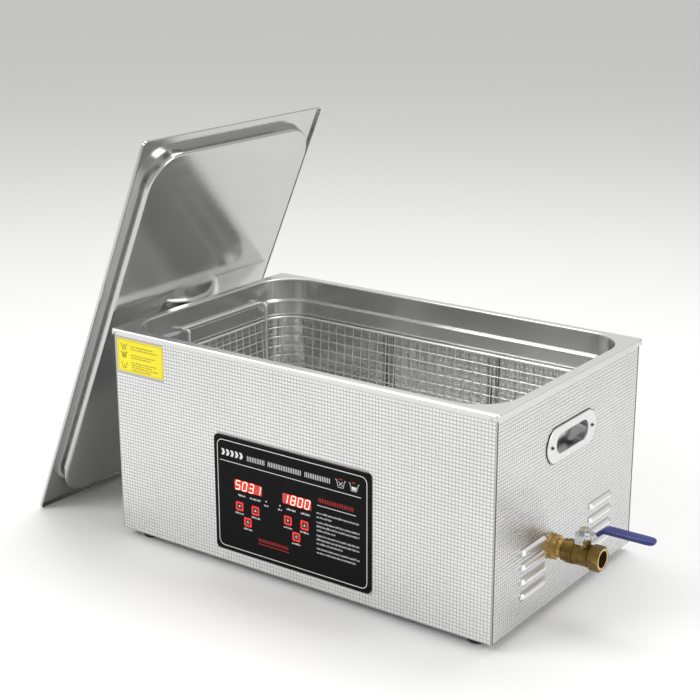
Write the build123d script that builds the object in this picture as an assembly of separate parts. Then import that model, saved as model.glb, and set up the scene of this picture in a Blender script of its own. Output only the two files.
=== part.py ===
from build123d import *
import math
import os

# A bench ultrasonic cleaner built round a Gastronorm 1/1 tank, millimetres.
# Origin: centre of the body's footprint, on the plane that the feet stand on.
# +X towards the drain valve, -Y towards the control panel, +Z up.
# The lid is made closed and then placed where it rests: leaning on the left end.

# Driving dimensions
FLANGE_L = 530.0        # Gastronorm 1/1 outer length
FLANGE_W = 325.0        # Gastronorm 1/1 outer width
TOP = 265.0             # top of the tank flange above the floor
TANK_DEPTH = 150.0      # flange top to tank floor, inside
FOOT_H = 10.0
SHEET = 1.0             # casing sheet
TANK_SHEET = 1.2
CASE_INSET = 3.0        # casing sheet behind the flange edge, each side
SKIRT = 7.0             # turned-down edge of the flange
MESH = 13.0             # basket mesh pitch
LEAN = 23.0             # lid's angle from the vertical when it leans
LID_FOOT_X = -407.3     # the lid's bottom edge on the floor when it leans

# Casing, worked out
CASE_X = FLANGE_L / 2 - CASE_INSET
CASE_Y = FLANGE_W / 2 - CASE_INSET
CASE_TOP = TOP - 3.2
IN_X = CASE_X - SHEET
IN_Y = CASE_Y - SHEET
FOOT_X, FOOT_Y = 233.0, 138.5
BASE_Z = FOOT_H
BASE_TOP = BASE_Z + 1.5
SEAM = 0.6              # gap between the front sheet and the side sheets

# Tank, worked out
OPEN_X, OPEN_Y, OPEN_R = 253.5, 151.0, 49.0
LEDGE_Z = TOP - 28.0
LEDGE_STEP = 5.5
BOWL_X = OPEN_X - LEDGE_STEP
BOWL_Y = OPEN_Y - LEDGE_STEP
BOWL_R = OPEN_R - LEDGE_STEP
FLOOR_Z = TOP - TANK_DEPTH
FLOOR_UNDER = FLOOR_Z - TANK_SHEET

# Control panel on the front sheet
PANEL_W, PANEL_H, PANEL_T = 220.0, 141.0, 1.6
PANEL_Z = 95.5          # centre height
KEY_SIZE, KEY_GAP = 11.0, 0.3
KEY_TRAVEL = 0.6
KEYS = {"key_temp_down": (-73.5, 84.4), "key_temp_up": (-50.1, 84.4), "key_heat": (-61.8, 67.4),
        "key_time_down": (-3.3, 84.4), "key_time_up": (20.1, 84.4), "key_start": (8.4, 67.4)}
DISPLAY_W, DISPLAY_H, DISPLAY_Z = 42.0, 13.0, 110.0
DISPLAYS_X = (-61.0, 9.0)
BOARD_FRONT_Y = -CASE_Y + 7.0
LABEL_X, LABEL_TOP, LABEL_W, LABEL_H, LABEL_T = -258.0, 254.0, 72.0, 40.0, 0.2

# Carrying handles
HANDLE_L, HANDLE_H, HANDLE_Z = 110.0, 41.0, 194.0
SLOT_L, SLOT_H = 74.0, 25.0
HANDLE_SCREW_Y = 45.0
PLATE_T, CUP_T, CUP_DEPTH = 1.8, 1.2, 11.2

# Screws: M4 for the handles, the feet and the fan
SCREW_R, SCREW_HOLE_R = 2.0, 2.2

# Louvres, two columns on each side sheet
LOUVRE_Y, LOUVRE_L, LOUVRE_R = 76.0, 54.0, 6.0
LOUVRE_SUNK = 2.6       # the hood's centre line behind the sheet's outer face
LOUVRE_ZS = [40.0 + 17.0 * i for i in range(4)]

# Drain line and valve: G 1/2, so a 21 mm pipe
VALVE_Y, VALVE_Z = -34.0, 77.0
DRAIN_X = 196.0
PIPE_R, PIPE_BORE = 10.5, 7.5
STEM_X = 300.0
VALVE_BACK, VALVE_FRONT = 277.0, 323.0
OUTLET_R = 9.3
OUTLET_START = VALVE_FRONT - 11.2
SEAT_BACK, SEAT_FRONT = VALVE_BACK + 11, STEM_X + 10.3
BALL_R = 9.4
STEM_R = 3.2
LEVER_Z = VALVE_Z + 24   # underside of the lever at its stem
CRANK, LEVER_T = 10.0, 2.0
FIT = 0.05              # radial running clearance

# Basket
RIM_X, RIM_Y, RIM_R = 243.5, 140.0, 40.0
RIM_Z = TOP - 49.0
BASKET_WIRE = 3.0
MESH_T = 1.0            # thickness of the tray that stands for the mesh
BASKET_ROWS = 6
BASKET_BEND = 5.0       # outside radius where the walls turn into the floor
BASKET_FLOOR = RIM_Z - BASKET_ROWS * MESH
HANGER_D = 3.6
HANGER_HALF = 75.0
HANGER_SHIFT = 22.0     # each hanger sits off centre, so the basket fits either way round
FRAME_XS = (-83.5, -72.5, 72.5, 83.5)
FRAME_D = 2.5

# Lid
LID_SHEET = 1.0
LID_GAP = 0.4           # rim above the flange when closed
LID_SIDE_GAP = 0.8
LIP = 4.0
LID_X = FLANGE_L / 2 + LID_SIDE_GAP + LID_SHEET
LID_Y = FLANGE_W / 2 + LID_SIDE_GAP + LID_SHEET
RIM_UNDER = TOP + LID_GAP
TRAY_X, TRAY_Y, TRAY_R = 251.0, 148.5, 47.0
TRAY_DEPTH, TRAY_DRAFT = 13.0, 11.0
DISH_R, DISH_DEPTH = 59.0, 20.0
ROD_R, ROD_HALF = 4.5, 69.4
ROD_Z = RIM_UNDER - 5.0

# Inside: transducers, electronics, fan
HORN_XS = (-165.0, -55.0, 55.0, 165.0)
HORN_YS = (-82.0, 82.0)
FAN_X, FAN_Z, FAN_SIZE, FAN_T = 150.0, 60.0, 80.0, 25.0
FAN_BORE_R, FAN_HUB_R, FAN_SHAFT_R, FAN_SCREW = 38.0, 15.0, 2.5, 35.75
BOARD_Z, BOARD_T = 20.0, 1.6        # generator board's underside and thickness
BOARD_TOP = BOARD_Z + BOARD_T
HORN_H, RING_H, MASS_H = 26.0, 5.0, 18.0
INLET_X, INLET_Z = -200.0, 60.0
SWITCH_X, SWITCH_Z = -140.0, 60.0


def box(x0, x1, y0, y1, z0, z1):
    """A box between two opposite corners."""
    centre = Pos((x0 + x1) / 2, (y0 + y1) / 2, (z0 + z1) / 2)
    return centre * Box(x1 - x0, y1 - y0, z1 - z0)


def rounded_block(half_x, half_y, radius, z0, z1, draft=0.0):
    """A rounded rectangle raised from z0 to z1, narrowing upwards by the draft angle."""
    face = Pos(0, 0, z0) * RectangleRounded(2 * half_x, 2 * half_y, radius)
    return extrude(face, z1 - z0, dir=(0, 0, 1), taper=draft)


def rod_x(x0, x1, y, z, radius):
    """A cylinder along X."""
    return Pos((x0 + x1) / 2, y, z) * Rot(0, 90, 0) * Cylinder(radius, x1 - x0)


def rod_y(x, y0, y1, z, radius):
    """A cylinder along Y."""
    return Pos(x, (y0 + y1) / 2, z) * Rot(90, 0, 0) * Cylinder(radius, y1 - y0)


def rod_z(x, y, z0, z1, radius):
    """A cylinder along Z."""
    return Pos(x, y, (z0 + z1) / 2) * Cylinder(radius, z1 - z0)


def hexagon_z(x, y, z0, z1, across_flats):
    """A hexagonal prism along Z."""
    face = Pos(x, y, z0) * RegularPolygon(across_flats / math.sqrt(3), 6)
    return extrude(face, z1 - z0, dir=(0, 0, 1))


def hexagon_x(x0, x1, y, z, across_flats):
    """A hexagonal prism along X."""
    face = Plane(origin=(x0, y, z), x_dir=(0, 1, 0), z_dir=(1, 0, 0)) * RegularPolygon(
        across_flats / math.sqrt(3), 6)
    return extrude(face, x1 - x0, dir=(1, 0, 0))


def revolved_x(points, y, z):
    """A closed outline of (x, radius) points, turned about an axis along X."""
    plane = Plane(origin=(0, y, z), x_dir=(1, 0, 0), z_dir=(0, 1, 0))
    face = plane * make_face(Polyline(*points, close=True))
    return revolve(face, Axis((0, y, z), (1, 0, 0)))


def capsule_y(x, y, z, length, radius):
    """A rod along Y with round ends."""
    half = length / 2 - radius
    plane = Plane(origin=(x, y, z), x_dir=(0, 1, 0), z_dir=(0, 0, 1))
    outline = [Line((-half - radius, 0), (half + radius, 0)),
               CenterArc((half, 0), radius, 0, 90),
               Line((half, radius), (-half, radius)),
               CenterArc((-half, 0), radius, 90, 90)]
    return revolve(plane * make_face(outline), Axis((x, y, z), (0, 1, 0)))


def stadium_x(x0, x1, y, z, length, height):
    """A stadium on a YZ face, raised along X."""
    face = Plane(origin=(x0, y, z), x_dir=(0, 1, 0), z_dir=(1, 0, 0)) * SlotOverall(length, height)
    return extrude(face, x1 - x0, dir=(1, 0, 0))


def rounded_y(y0, y1, x, z, width, height, radius):
    """A rounded rectangle on an XZ face, raised along Y."""
    face = Plane(origin=(x, y0, z), x_dir=(1, 0, 0), z_dir=(0, -1, 0)) * RectangleRounded(
        width, height, radius)
    return extrude(face, y1 - y0, dir=(0, 1, 0))


def wire(points, radii, diameter):
    """A round wire along straight runs joined by arcs."""
    path = FilletPolyline(*points, radius=radii)
    start = Vector(*points[0])
    along = Vector(*points[1]) - start
    return sweep(Plane(origin=start, z_dir=along) * Circle(diameter / 2), path=path)


def group(shapes):
    """Separate solids kept together in one node."""
    return Compound(children=[s for shape in shapes for s in shape.solids()])


# Casing

def front_sheet():
    """Front wall: full length, turned in under the flange, cut away behind the control panel."""
    sheet = box(-CASE_X, CASE_X, -CASE_Y, -IN_Y, BASE_Z, CASE_TOP)
    sheet += box(-CASE_X + 2, CASE_X - 2, -IN_Y, -IN_Y + 5, CASE_TOP - SHEET, CASE_TOP)
    return sheet - box(-92, 40, -CASE_Y - 1, -IN_Y + 1, 58, 122)


def rear_sheet():
    """Rear wall with the fan grille and the cut-outs for the mains inlet and the switch."""
    sheet = box(-CASE_X, CASE_X, IN_Y, CASE_Y, BASE_Z, CASE_TOP)
    sheet += box(-CASE_X + 2, CASE_X - 2, IN_Y - 5, IN_Y, CASE_TOP - SHEET, CASE_TOP)
    y0, y1 = IN_Y - 1, CASE_Y + 1
    for i in range(9):
        dz = -32 + 8 * i
        half = math.sqrt((FAN_BORE_R - 2) ** 2 - dz ** 2)
        sheet -= box(FAN_X - half, FAN_X + half, y0, y1, FAN_Z + dz - 2, FAN_Z + dz + 2)
    sheet -= box(INLET_X - 14, INLET_X + 14, y0, y1, INLET_Z - 24, INLET_Z + 24)
    sheet -= box(SWITCH_X - 13.5, SWITCH_X + 13.5, y0, y1, SWITCH_Z - 10.5, SWITCH_Z + 10.5)
    for z in (INLET_Z - 30, INLET_Z + 30):
        sheet -= rod_y(INLET_X, y0, y1, z, 1.7)
    for dx in (-FAN_SCREW, FAN_SCREW):
        for dz in (-FAN_SCREW, FAN_SCREW):
            sheet -= rod_y(FAN_X + dx, y0, y1, FAN_Z + dz, SCREW_HOLE_R)
    return sheet


def louvre_hood(y, z):
    """A pressed hood on the +X wall: its face slopes out downwards and its lower side is open."""
    axis_x = CASE_X - LOUVRE_SUNK
    outer = capsule_y(axis_x, y, z, LOUVRE_L, LOUVRE_R)
    inner = capsule_y(axis_x, y, z, LOUVRE_L - 2 * SHEET, LOUVRE_R - SHEET)
    reach = LOUVRE_L / 2 + 5
    keep = box(CASE_X, CASE_X + LOUVRE_R, y - reach, y + reach, z - 0.4, z + LOUVRE_R)
    return (outer - inner) & keep


def right_sheet():
    """Right wall with its louvres, handle opening and screw holes."""
    half_y = IN_Y - SEAM
    sheet = box(IN_X, CASE_X, -half_y, half_y, BASE_Z, CASE_TOP)
    for y in (-LOUVRE_Y, LOUVRE_Y):
        for z in LOUVRE_ZS:
            vent = LOUVRE_L / 2 - 6
            sheet -= box(IN_X - 1, CASE_X + 1, y - vent, y + vent, z - 0.2, z + 3)
    for y in (-LOUVRE_Y, LOUVRE_Y):
        for z in LOUVRE_ZS:
            sheet += louvre_hood(y, z)
    sheet -= stadium_x(IN_X - 1, CASE_X + 1, 0, HANDLE_Z, SLOT_L, SLOT_H)
    for y in (-HANDLE_SCREW_Y, HANDLE_SCREW_Y):
        sheet -= rod_x(IN_X - 1, CASE_X + 1, y, HANDLE_Z, SCREW_HOLE_R)
    return sheet


def drain_hole():
    """The hole for the drain pipe in the right wall."""
    return rod_x(IN_X - 1, CASE_X + 1, VALVE_Y, VALVE_Z, PIPE_R + 0.5)


def corner_angles():
    """Four angles that join the casing sheets, each with a gusset that takes a foot's screw."""
    angles = []
    for sx in (-1, 1):
        for sy in (-1, 1):
            leg_x = box(IN_X - 16, IN_X, IN_Y - 1.2, IN_Y, BASE_TOP, LEDGE_Z - 7)
            leg_y = box(IN_X - 1.2, IN_X, IN_Y - 16, IN_Y, BASE_TOP, LEDGE_Z - 7)
            gusset = box(IN_X - 40, IN_X, IN_Y - 32, IN_Y, BASE_TOP, BASE_TOP + 1.5)
            angle = leg_x + leg_y + gusset - rod_z(FOOT_X, FOOT_Y, 0, 40, SCREW_HOLE_R)
            if sx < 0:
                angle = mirror(angle, about=Plane.YZ)
            if sy < 0:
                angle = mirror(angle, about=Plane.XZ)
            angles.append(angle)
    return group(angles)


def base_plate():
    """Bottom of the casing, between the sheets, with vent slots and holes for the feet."""
    plate = box(-IN_X, IN_X, -IN_Y, IN_Y, BASE_Z, BASE_TOP)
    for i in range(9):
        x = -120 + 30 * i
        plate -= box(x - 2.5, x + 2.5, 92, 128, BASE_Z - 1, BASE_TOP + 1)
    for x in (-FOOT_X, FOOT_X):
        for y in (-FOOT_Y, FOOT_Y):
            plate -= rod_z(x, y, 0, 40, SCREW_HOLE_R)
    return plate


def feet():
    """Four tapered rubber feet, each hollow below for its screw's head."""
    made = []
    for x in (-FOOT_X, FOOT_X):
        for y in (-FOOT_Y, FOOT_Y):
            foot = Pos(x, y, FOOT_H / 2) * Rot(180, 0, 0) * Cone(12.5, 11, FOOT_H)
            foot -= rod_z(x, y, -1, 5, 5)
            foot -= rod_z(x, y, 4, FOOT_H + 1, SCREW_HOLE_R)
            made.append(foot)
    return group(made)


def foot_screws():
    """Screws up through the feet, the base and the gussets, with their nuts."""
    made = []
    for x in (-FOOT_X, FOOT_X):
        for y in (-FOOT_Y, FOOT_Y):
            made.append(rod_z(x, y, 2.2, 5, 4) + rod_z(x, y, 4.9, 18, SCREW_R))
            nut_z = BASE_TOP + 1.5
            made.append(hexagon_z(x, y, nut_z, nut_z + 3.2, 7) - rod_z(x, y, 0, 40, SCREW_R))
    return group(made)


# Tank

def flange():
    """The tank's flat flange with its turned-down skirt and a relief notch at each corner."""
    half_x, half_y = FLANGE_L / 2, FLANGE_W / 2
    outer = rounded_block(half_x, half_y, 3.2, TOP - SKIRT, TOP)
    outer = fillet(outer.faces().sort_by(Axis.Z)[-1].edges(), 2.4)
    hollow = rounded_block(half_x - 1.2, half_y - 1.2, 2.0, TOP - SKIRT - 1, TOP - TANK_SHEET)
    plate = outer - hollow
    for sx in (-1, 1):
        for sy in (-1, 1):
            x = sx * (half_x - 7)
            y = sy * (half_y - 1)
            plate -= box(x - 2.5, x + 2.5, y - 2, y + 2, TOP - SKIRT - 1, TOP - SKIRT + 2.6)
    return plate


def bowl(offset, floor_z, floor_radius, top_z):
    """The bowl as a solid, grown by an offset: the upper wall, the ledge and the deep part."""
    upper = rounded_block(OPEN_X + offset, OPEN_Y + offset, OPEN_R + offset,
                          LEDGE_Z - offset, top_z)
    lower = rounded_block(BOWL_X + offset, BOWL_Y + offset, BOWL_R + offset, floor_z, LEDGE_Z)
    lower = fillet(lower.faces().sort_by(Axis.Z)[0].edges(), floor_radius)
    return upper + lower


def tank():
    """The deep-drawn tank: flange, rolled inner edge, stacking ledge, bowl and drain hole."""
    outer = bowl(TANK_SHEET, FLOOR_UNDER, 20 + TANK_SHEET, TOP - 0.4)
    inner = bowl(0, FLOOR_Z, 20, TOP + 5)
    shell = (flange() + outer) - inner
    rolled = [e for e in shell.edges() if abs(e.center().Z - TOP) < 0.01
              and e.bounding_box().max.Z - e.bounding_box().min.Z < 0.01
              and abs(e.center().X) < OPEN_X + 0.1 and abs(e.center().Y) < OPEN_Y + 0.1]
    shell = fillet(rolled, 1.0)
    ledge = [e for e in shell.edges() if abs(e.center().Z - LEDGE_Z) < 0.01
             and abs(e.center().X) < BOWL_X + 0.1 and abs(e.center().Y) < BOWL_Y + 0.1]
    shell = fillet(ledge, 1.0)
    return shell - rod_z(DRAIN_X, VALVE_Y, FLOOR_UNDER - 1, FLOOR_Z + 1, PIPE_R + 0.3)


def flange_gasket():
    """A flat sealing strip between the casing's turned-in edges and the flange."""
    z0, z1 = CASE_TOP, TOP - TANK_SHEET
    ring = box(-CASE_X + 2, CASE_X - 2, -IN_Y, IN_Y, z0, z1)
    return ring - box(-OPEN_X - 4, OPEN_X + 4, -IN_Y + 5, IN_Y - 5, z0 - 1, z1 + 1)


def heater_pads():
    """Two flat heating pads bonded to the bowl's rear wall and two to its floor's middle."""
    y0 = BOWL_Y + TANK_SHEET
    pads = [box(x - 85, x + 85, y0, y0 + 1.6, 145, 215) for x in (-95, 95)]
    pads += [box(x - 60, x + 60, -26, 26, FLOOR_UNDER - 1.6, FLOOR_UNDER) for x in (-90, 62)]
    return group(pads)


def transducers():
    """The clamped stacks under the tank floor: horns, rings, back masses and bolts."""
    horns, rings, masses, bolts = [], [], [], []
    for x in HORN_XS:
        for y in HORN_YS:
            z = FLOOR_UNDER
            horn = Pos(x, y, z - HORN_H / 2) * Cone(19.5, 24, HORN_H)
            horns.append(horn - rod_z(x, y, z - HORN_H - 1, z - 12, 4))
            for i in range(2):
                top = z - HORN_H - RING_H * i
                rings.append(rod_z(x, y, top - RING_H, top, 19) - rod_z(x, y, top - 6, top + 1, 7))
            mass_top = z - HORN_H - 2 * RING_H
            foot = mass_top - MASS_H
            mass = rod_z(x, y, foot, mass_top, 19.5)
            masses.append(mass - rod_z(x, y, foot - 1, mass_top + 1, 4.5))
            bolts.append(rod_z(x, y, foot + 0.1, z - 14, 3.9) + rod_z(x, y, foot - 6, foot, 6.5))
    return {"transducer_horns": group(horns), "transducer_ceramics": group(rings),
            "transducer_back_masses": group(masses), "transducer_bolts": group(bolts)}


# Control panel

def control_panel():
    """The glossy front plate with windows for the displays and holes for the keys."""
    y0 = -CASE_Y - PANEL_T
    plate = rounded_y(y0, -CASE_Y, 0, PANEL_Z, PANEL_W, PANEL_H, 6)
    hole = KEY_SIZE + 2 * KEY_GAP
    for x, z in KEYS.values():
        plate -= rounded_y(y0 - 1, -CASE_Y + 1, x, z, hole, hole, 2)
    for x in DISPLAYS_X:
        plate -= rounded_y(y0 - 1, -CASE_Y + 1, x, DISPLAY_Z, DISPLAY_W, DISPLAY_H, 1)
    return plate


def key(x, z):
    """One key cap with a stem that reaches towards its switch."""
    front = -CASE_Y - PANEL_T - 0.3
    cap = rounded_y(front, front + 2.6, x, z, KEY_SIZE, KEY_SIZE, 1.7)
    return cap + rod_y(x, front + 2.5, BOARD_FRONT_Y - 3.4 - KEY_TRAVEL - 0.2, z, 2)


def displays():
    """Two four-digit display blocks that fill their windows."""
    front = -CASE_Y - PANEL_T + 0.4
    return group([rounded_y(front, BOARD_FRONT_Y, x, DISPLAY_Z, DISPLAY_W - 0.2, DISPLAY_H - 0.2, 0.9)
                  for x in DISPLAYS_X])


def control_board():
    """The circuit board behind the panel, on four posts from the front sheet."""
    board = box(-104, 52, BOARD_FRONT_Y, BOARD_FRONT_Y + BOARD_T, 50, 130)
    posts = [rod_y(x, -IN_Y, BOARD_FRONT_Y, z, 3) for x in (-98, 46) for z in (54, 126)]
    return group([board] + posts)


def tact_switches():
    """One small switch on the board behind each key."""
    made = []
    for x, z in KEYS.values():
        body = box(x - 3, x + 3, BOARD_FRONT_Y - 2.4, BOARD_FRONT_Y, z - 3, z + 3)
        made.append(body + rod_y(x, BOARD_FRONT_Y - 3.4, BOARD_FRONT_Y - 2.3, z, 1.7))
    return group(made)


def warning_label():
    """A thin yellow label near the top left of the front."""
    x0, z1 = LABEL_X, LABEL_TOP
    return box(x0, x0 + LABEL_W, -CASE_Y - LABEL_T, -CASE_Y, z1 - LABEL_H, z1)


# Handles

def handle_plates():
    """A stamped stadium plate round each carrying slot."""
    plate = stadium_x(CASE_X, CASE_X + PLATE_T, 0, HANDLE_Z, HANDLE_L, HANDLE_H)
    plate = fillet(plate.faces().sort_by(Axis.X)[-1].edges(), 1.0)
    plate -= stadium_x(CASE_X - 1, CASE_X + 3, 0, HANDLE_Z, SLOT_L - 2, SLOT_H - 2)
    for y in (-HANDLE_SCREW_Y, HANDLE_SCREW_Y):
        plate -= rod_x(CASE_X - 1, CASE_X + 3, y, HANDLE_Z, SCREW_HOLE_R)
    return group([plate, mirror(plate, about=Plane.YZ)])


def handle_cups():
    """A shallow finger cup behind each carrying slot."""
    tray_l, tray_h = SLOT_L + 6, HANDLE_H - 5
    flat = stadium_x(IN_X - CUP_T, IN_X, 0, HANDLE_Z, HANDLE_L, HANDLE_H)
    tray = stadium_x(IN_X - CUP_DEPTH, IN_X - CUP_T + 0.1, 0, HANDLE_Z, tray_l, tray_h)
    hollow_l, hollow_h = tray_l - 2 * CUP_T, tray_h - 2 * CUP_T
    cup = flat + tray - stadium_x(IN_X - CUP_DEPTH + CUP_T, IN_X + 1, 0, HANDLE_Z, hollow_l, hollow_h)
    for y in (-HANDLE_SCREW_Y, HANDLE_SCREW_Y):
        cup -= rod_x(IN_X - 3, IN_X + 1, y, HANDLE_Z, SCREW_HOLE_R)
    return group([cup, mirror(cup, about=Plane.YZ)])


def handle_screws():
    """Domed screws with nuts, two to each handle."""
    made = []
    for y in (-HANDLE_SCREW_Y, HANDLE_SCREW_Y):
        face = CASE_X + PLATE_T
        dome = Pos(face - 1.6, y, HANDLE_Z) * Sphere(4)
        head = dome & box(face, face + 4, y - 5, y + 5, HANDLE_Z - 5, HANDLE_Z + 5)
        screw = head + rod_x(IN_X - 5, face + 0.1, y, HANDLE_Z, SCREW_R)
        nut = hexagon_x(IN_X - 4.4, IN_X - CUP_T, y, HANDLE_Z, 7)
        nut -= rod_x(IN_X - 9, IN_X, y, HANDLE_Z, SCREW_R)
        made += [screw, nut, mirror(screw, about=Plane.YZ), mirror(nut, about=Plane.YZ)]
    return group(made)


# Drain and valve

def drain_fitting():
    """The flanged outlet through the tank floor."""
    x, y = DRAIN_X, VALVE_Y
    body = rod_z(x, y, FLOOR_Z, FLOOR_Z + 2, 17) + rod_z(x, y, 92, FLOOR_Z + 1, PIPE_R)
    return body - rod_z(x, y, 90, FLOOR_Z + 3, PIPE_BORE)


def drain_seal():
    """The flat seal under the tank floor."""
    x, y = DRAIN_X, VALVE_Y
    return rod_z(x, y, FLOOR_UNDER - 2, FLOOR_UNDER, 15.5) - rod_z(x, y, 100, 120, PIPE_R)


def drain_nuts():
    """The nut that pulls the outlet down on its seal and the one that locks the pipe outside."""
    x, y, top = DRAIN_X, VALVE_Y, FLOOR_UNDER - 2
    inside = hexagon_z(x, y, top - 5, top, 30) - rod_z(x, y, 100, 120, PIPE_R)
    outside = hexagon_x(CASE_X, CASE_X + 9, y, VALVE_Z, 24)
    outside += rod_x(CASE_X, CASE_X + 2, y, VALVE_Z, 14.2)
    outside -= rod_x(CASE_X - 1, CASE_X + 10, y, VALVE_Z, PIPE_R)
    return group([inside, outside])


def drain_elbow():
    """The brass elbow from the outlet to the horizontal pipe."""
    x, y, z = DRAIN_X, VALVE_Y, VALVE_Z
    elbow = rod_z(x, y, z, 103, 13.5) + rod_x(x, x + 24, y, z, 13.5) + Pos(x, y, z) * Sphere(13.5)
    elbow -= rod_z(x, y, 92, 104, PIPE_R)
    elbow -= rod_z(x, y, z, 93, PIPE_BORE)
    elbow -= rod_x(x + 12, x + 25, y, z, PIPE_R)
    elbow -= rod_x(x, x + 13, y, z, PIPE_BORE)
    return elbow - Pos(x, y, z) * Sphere(PIPE_BORE)


def drain_pipe():
    """The threaded pipe from the elbow, through the casing, into the valve."""
    pipe = rod_x(DRAIN_X + 12, VALVE_BACK + 11, VALVE_Y, VALVE_Z, PIPE_R)
    return pipe - rod_x(DRAIN_X, VALVE_BACK + 12, VALVE_Y, VALVE_Z, PIPE_BORE)


def valve_body():
    """The brass ball valve body: ribbed barrel, hexagonal outlet end and the stem's boss."""
    y, z = VALVE_Y, VALVE_Z
    back, front = VALVE_BACK, VALVE_FRONT
    body = revolved_x([(back, 0), (back, 12.4), (back + 5, 12.4), (back + 5, 13.4),
                       (back + 14, 13.4), (back + 14, 12.6), (STEM_X + 9, 12.6),
                       (STEM_X + 9, 11.6), (front - 11, 11.6), (front - 11, 0)], y, z)
    body += hexagon_x(front - 12.5, front, y, z, 25)
    body += rod_z(STEM_X, y, z + 5, z + 18.5, 8)
    cavity = BALL_R + 0.3
    body -= revolved_x([(back - 1, 0), (back - 1, PIPE_R), (SEAT_BACK, PIPE_R), (SEAT_BACK, cavity),
                        (SEAT_FRONT, cavity), (SEAT_FRONT, 6), (OUTLET_START, 6),
                        (OUTLET_START, OUTLET_R), (front + 1, OUTLET_R), (front + 1, 0)], y, z)
    return body - rod_z(STEM_X, y, z + 5, z + 19, STEM_R + 0.1)


def valve_seat(far):
    """A plastic ring that fills the cavity from far to the ball and fits the ball's surface."""
    side = 1 if far > STEM_X else -1
    ball, inner, outer, reach = BALL_R + 0.1, 5.6, BALL_R + 0.25, 6.8
    steps = [math.asin(inner / ball), math.acos(reach / ball)]
    arc = [(STEM_X + side * ball * math.cos(a), ball * math.sin(a))
           for a in (steps[0] + (steps[1] - steps[0]) * i / 8 for i in range(9))]
    return revolved_x([(far, inner)] + arc + [(STEM_X + side * reach, outer), (far, outer)],
                      VALVE_Y, VALVE_Z)


def valve_seats():
    """The two seats, one each side of the ball."""
    return group([valve_seat(SEAT_BACK), valve_seat(SEAT_FRONT)])


def valve_ball():
    """The ball, bored along the pipe when the lever lies along it."""
    ball = Pos(STEM_X, VALVE_Y, VALVE_Z) * Sphere(BALL_R)
    ball -= rod_x(STEM_X - 12, STEM_X + 12, VALVE_Y, VALVE_Z, 5.4)
    slot = box(STEM_X - 12, STEM_X + 12, VALVE_Y - 1.2, VALVE_Y + 1.2, VALVE_Z + 6.8, VALVE_Z + 12)
    return ball - slot


def valve_stem():
    """The stem from the ball's slot up through the boss and the lever."""
    y, z = VALVE_Y, VALVE_Z
    stem = rod_z(STEM_X, y, z + 9.6, z + 31, STEM_R)
    return stem + box(STEM_X - 2.6, STEM_X + 2.6, y - 1.1, y + 1.1, z + 7, z + 10)


def gland_nut():
    """The packing nut on the boss."""
    nut = hexagon_z(STEM_X, VALVE_Y, VALVE_Z + 18.5, VALVE_Z + 23.4, 14)
    return nut - rod_z(STEM_X, VALVE_Y, VALVE_Z + 18, VALVE_Z + 24, STEM_R + 0.1)


def lever():
    """The flat steel lever, cranked up, with a stop tab turned down beside the boss."""
    y, z = VALVE_Y, LEVER_Z
    outline = Plane(origin=(0, y - 6, 0), x_dir=(1, 0, 0), z_dir=(0, -1, 0)) * make_face(Polyline(
        (STEM_X - 8, z), (STEM_X + 13, z), (STEM_X + 25, z + CRANK), (STEM_X + 76, z + CRANK),
        (STEM_X + 76, z + CRANK + LEVER_T), (STEM_X + 24.2, z + CRANK + LEVER_T),
        (STEM_X + 12.2, z + LEVER_T), (STEM_X - 8, z + LEVER_T), close=True))
    arm = extrude(outline, 12, dir=(0, 1, 0))
    arm += box(STEM_X - 5, STEM_X + 5, y - 12, y - 5.9, z, z + LEVER_T)
    arm += box(STEM_X - 5, STEM_X + 5, y - 12, y - 10, z - 8.5, z + LEVER_T)
    return arm - rod_z(STEM_X, y, z - 1, z + 3, STEM_R)


def lever_grip():
    """The dipped vinyl sleeve over the lever's arm."""
    y, z = VALVE_Y, LEVER_Z
    outline = Plane(origin=(0, y - 8, 0), x_dir=(1, 0, 0), z_dir=(0, -1, 0)) * make_face(Polyline(
        (STEM_X + 19, z + 2.8), (STEM_X + 26, z + 8.4), (STEM_X + 82, z + 8.4),
        (STEM_X + 82, z + 13.6), (STEM_X + 23.2, z + 13.6), (STEM_X + 16.2, z + 7.7), close=True))
    grip = extrude(outline, 16, dir=(0, 1, 0))
    tip = [e for e in grip.edges() if e.center().X > STEM_X + 81.5 and abs(e.center().Y - y) > 7]
    grip = fillet(tip, 7)
    return grip - lever()


def lever_nut():
    """The nut that holds the lever on the stem."""
    z = LEVER_Z + LEVER_T
    nut = hexagon_z(STEM_X, VALVE_Y, z, z + 4.5, 10)
    return nut - rod_z(STEM_X, VALVE_Y, z - 1, z + 6, STEM_R)


# Basket

def basket_mesh():
    """The mesh walls and floor, as a thin open tray of the same size."""
    half = BASKET_WIRE / 2
    skin = MESH_T / 2
    tray = rounded_block(RIM_X + skin, RIM_Y + skin, RIM_R, BASKET_FLOOR, RIM_Z - half)
    tray = fillet(tray.faces().sort_by(Axis.Z)[0].edges(), BASKET_BEND)
    hollow = rounded_block(RIM_X - skin, RIM_Y - skin, RIM_R - MESH_T, BASKET_FLOOR + MESH_T, RIM_Z)
    hollow = fillet(hollow.faces().sort_by(Axis.Z)[0].edges(), BASKET_BEND - MESH_T)
    return tray - hollow


def basket_rim():
    """The round wire that runs along the top of the mesh."""
    path = Pos(0, 0, RIM_Z) * RectangleRounded(2 * RIM_X, 2 * RIM_Y, RIM_R)
    start = Plane(origin=(0, -RIM_Y, RIM_Z), z_dir=(1, 0, 0))
    return sweep(start * Circle(BASKET_WIRE / 2), path=path.wire())


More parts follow.
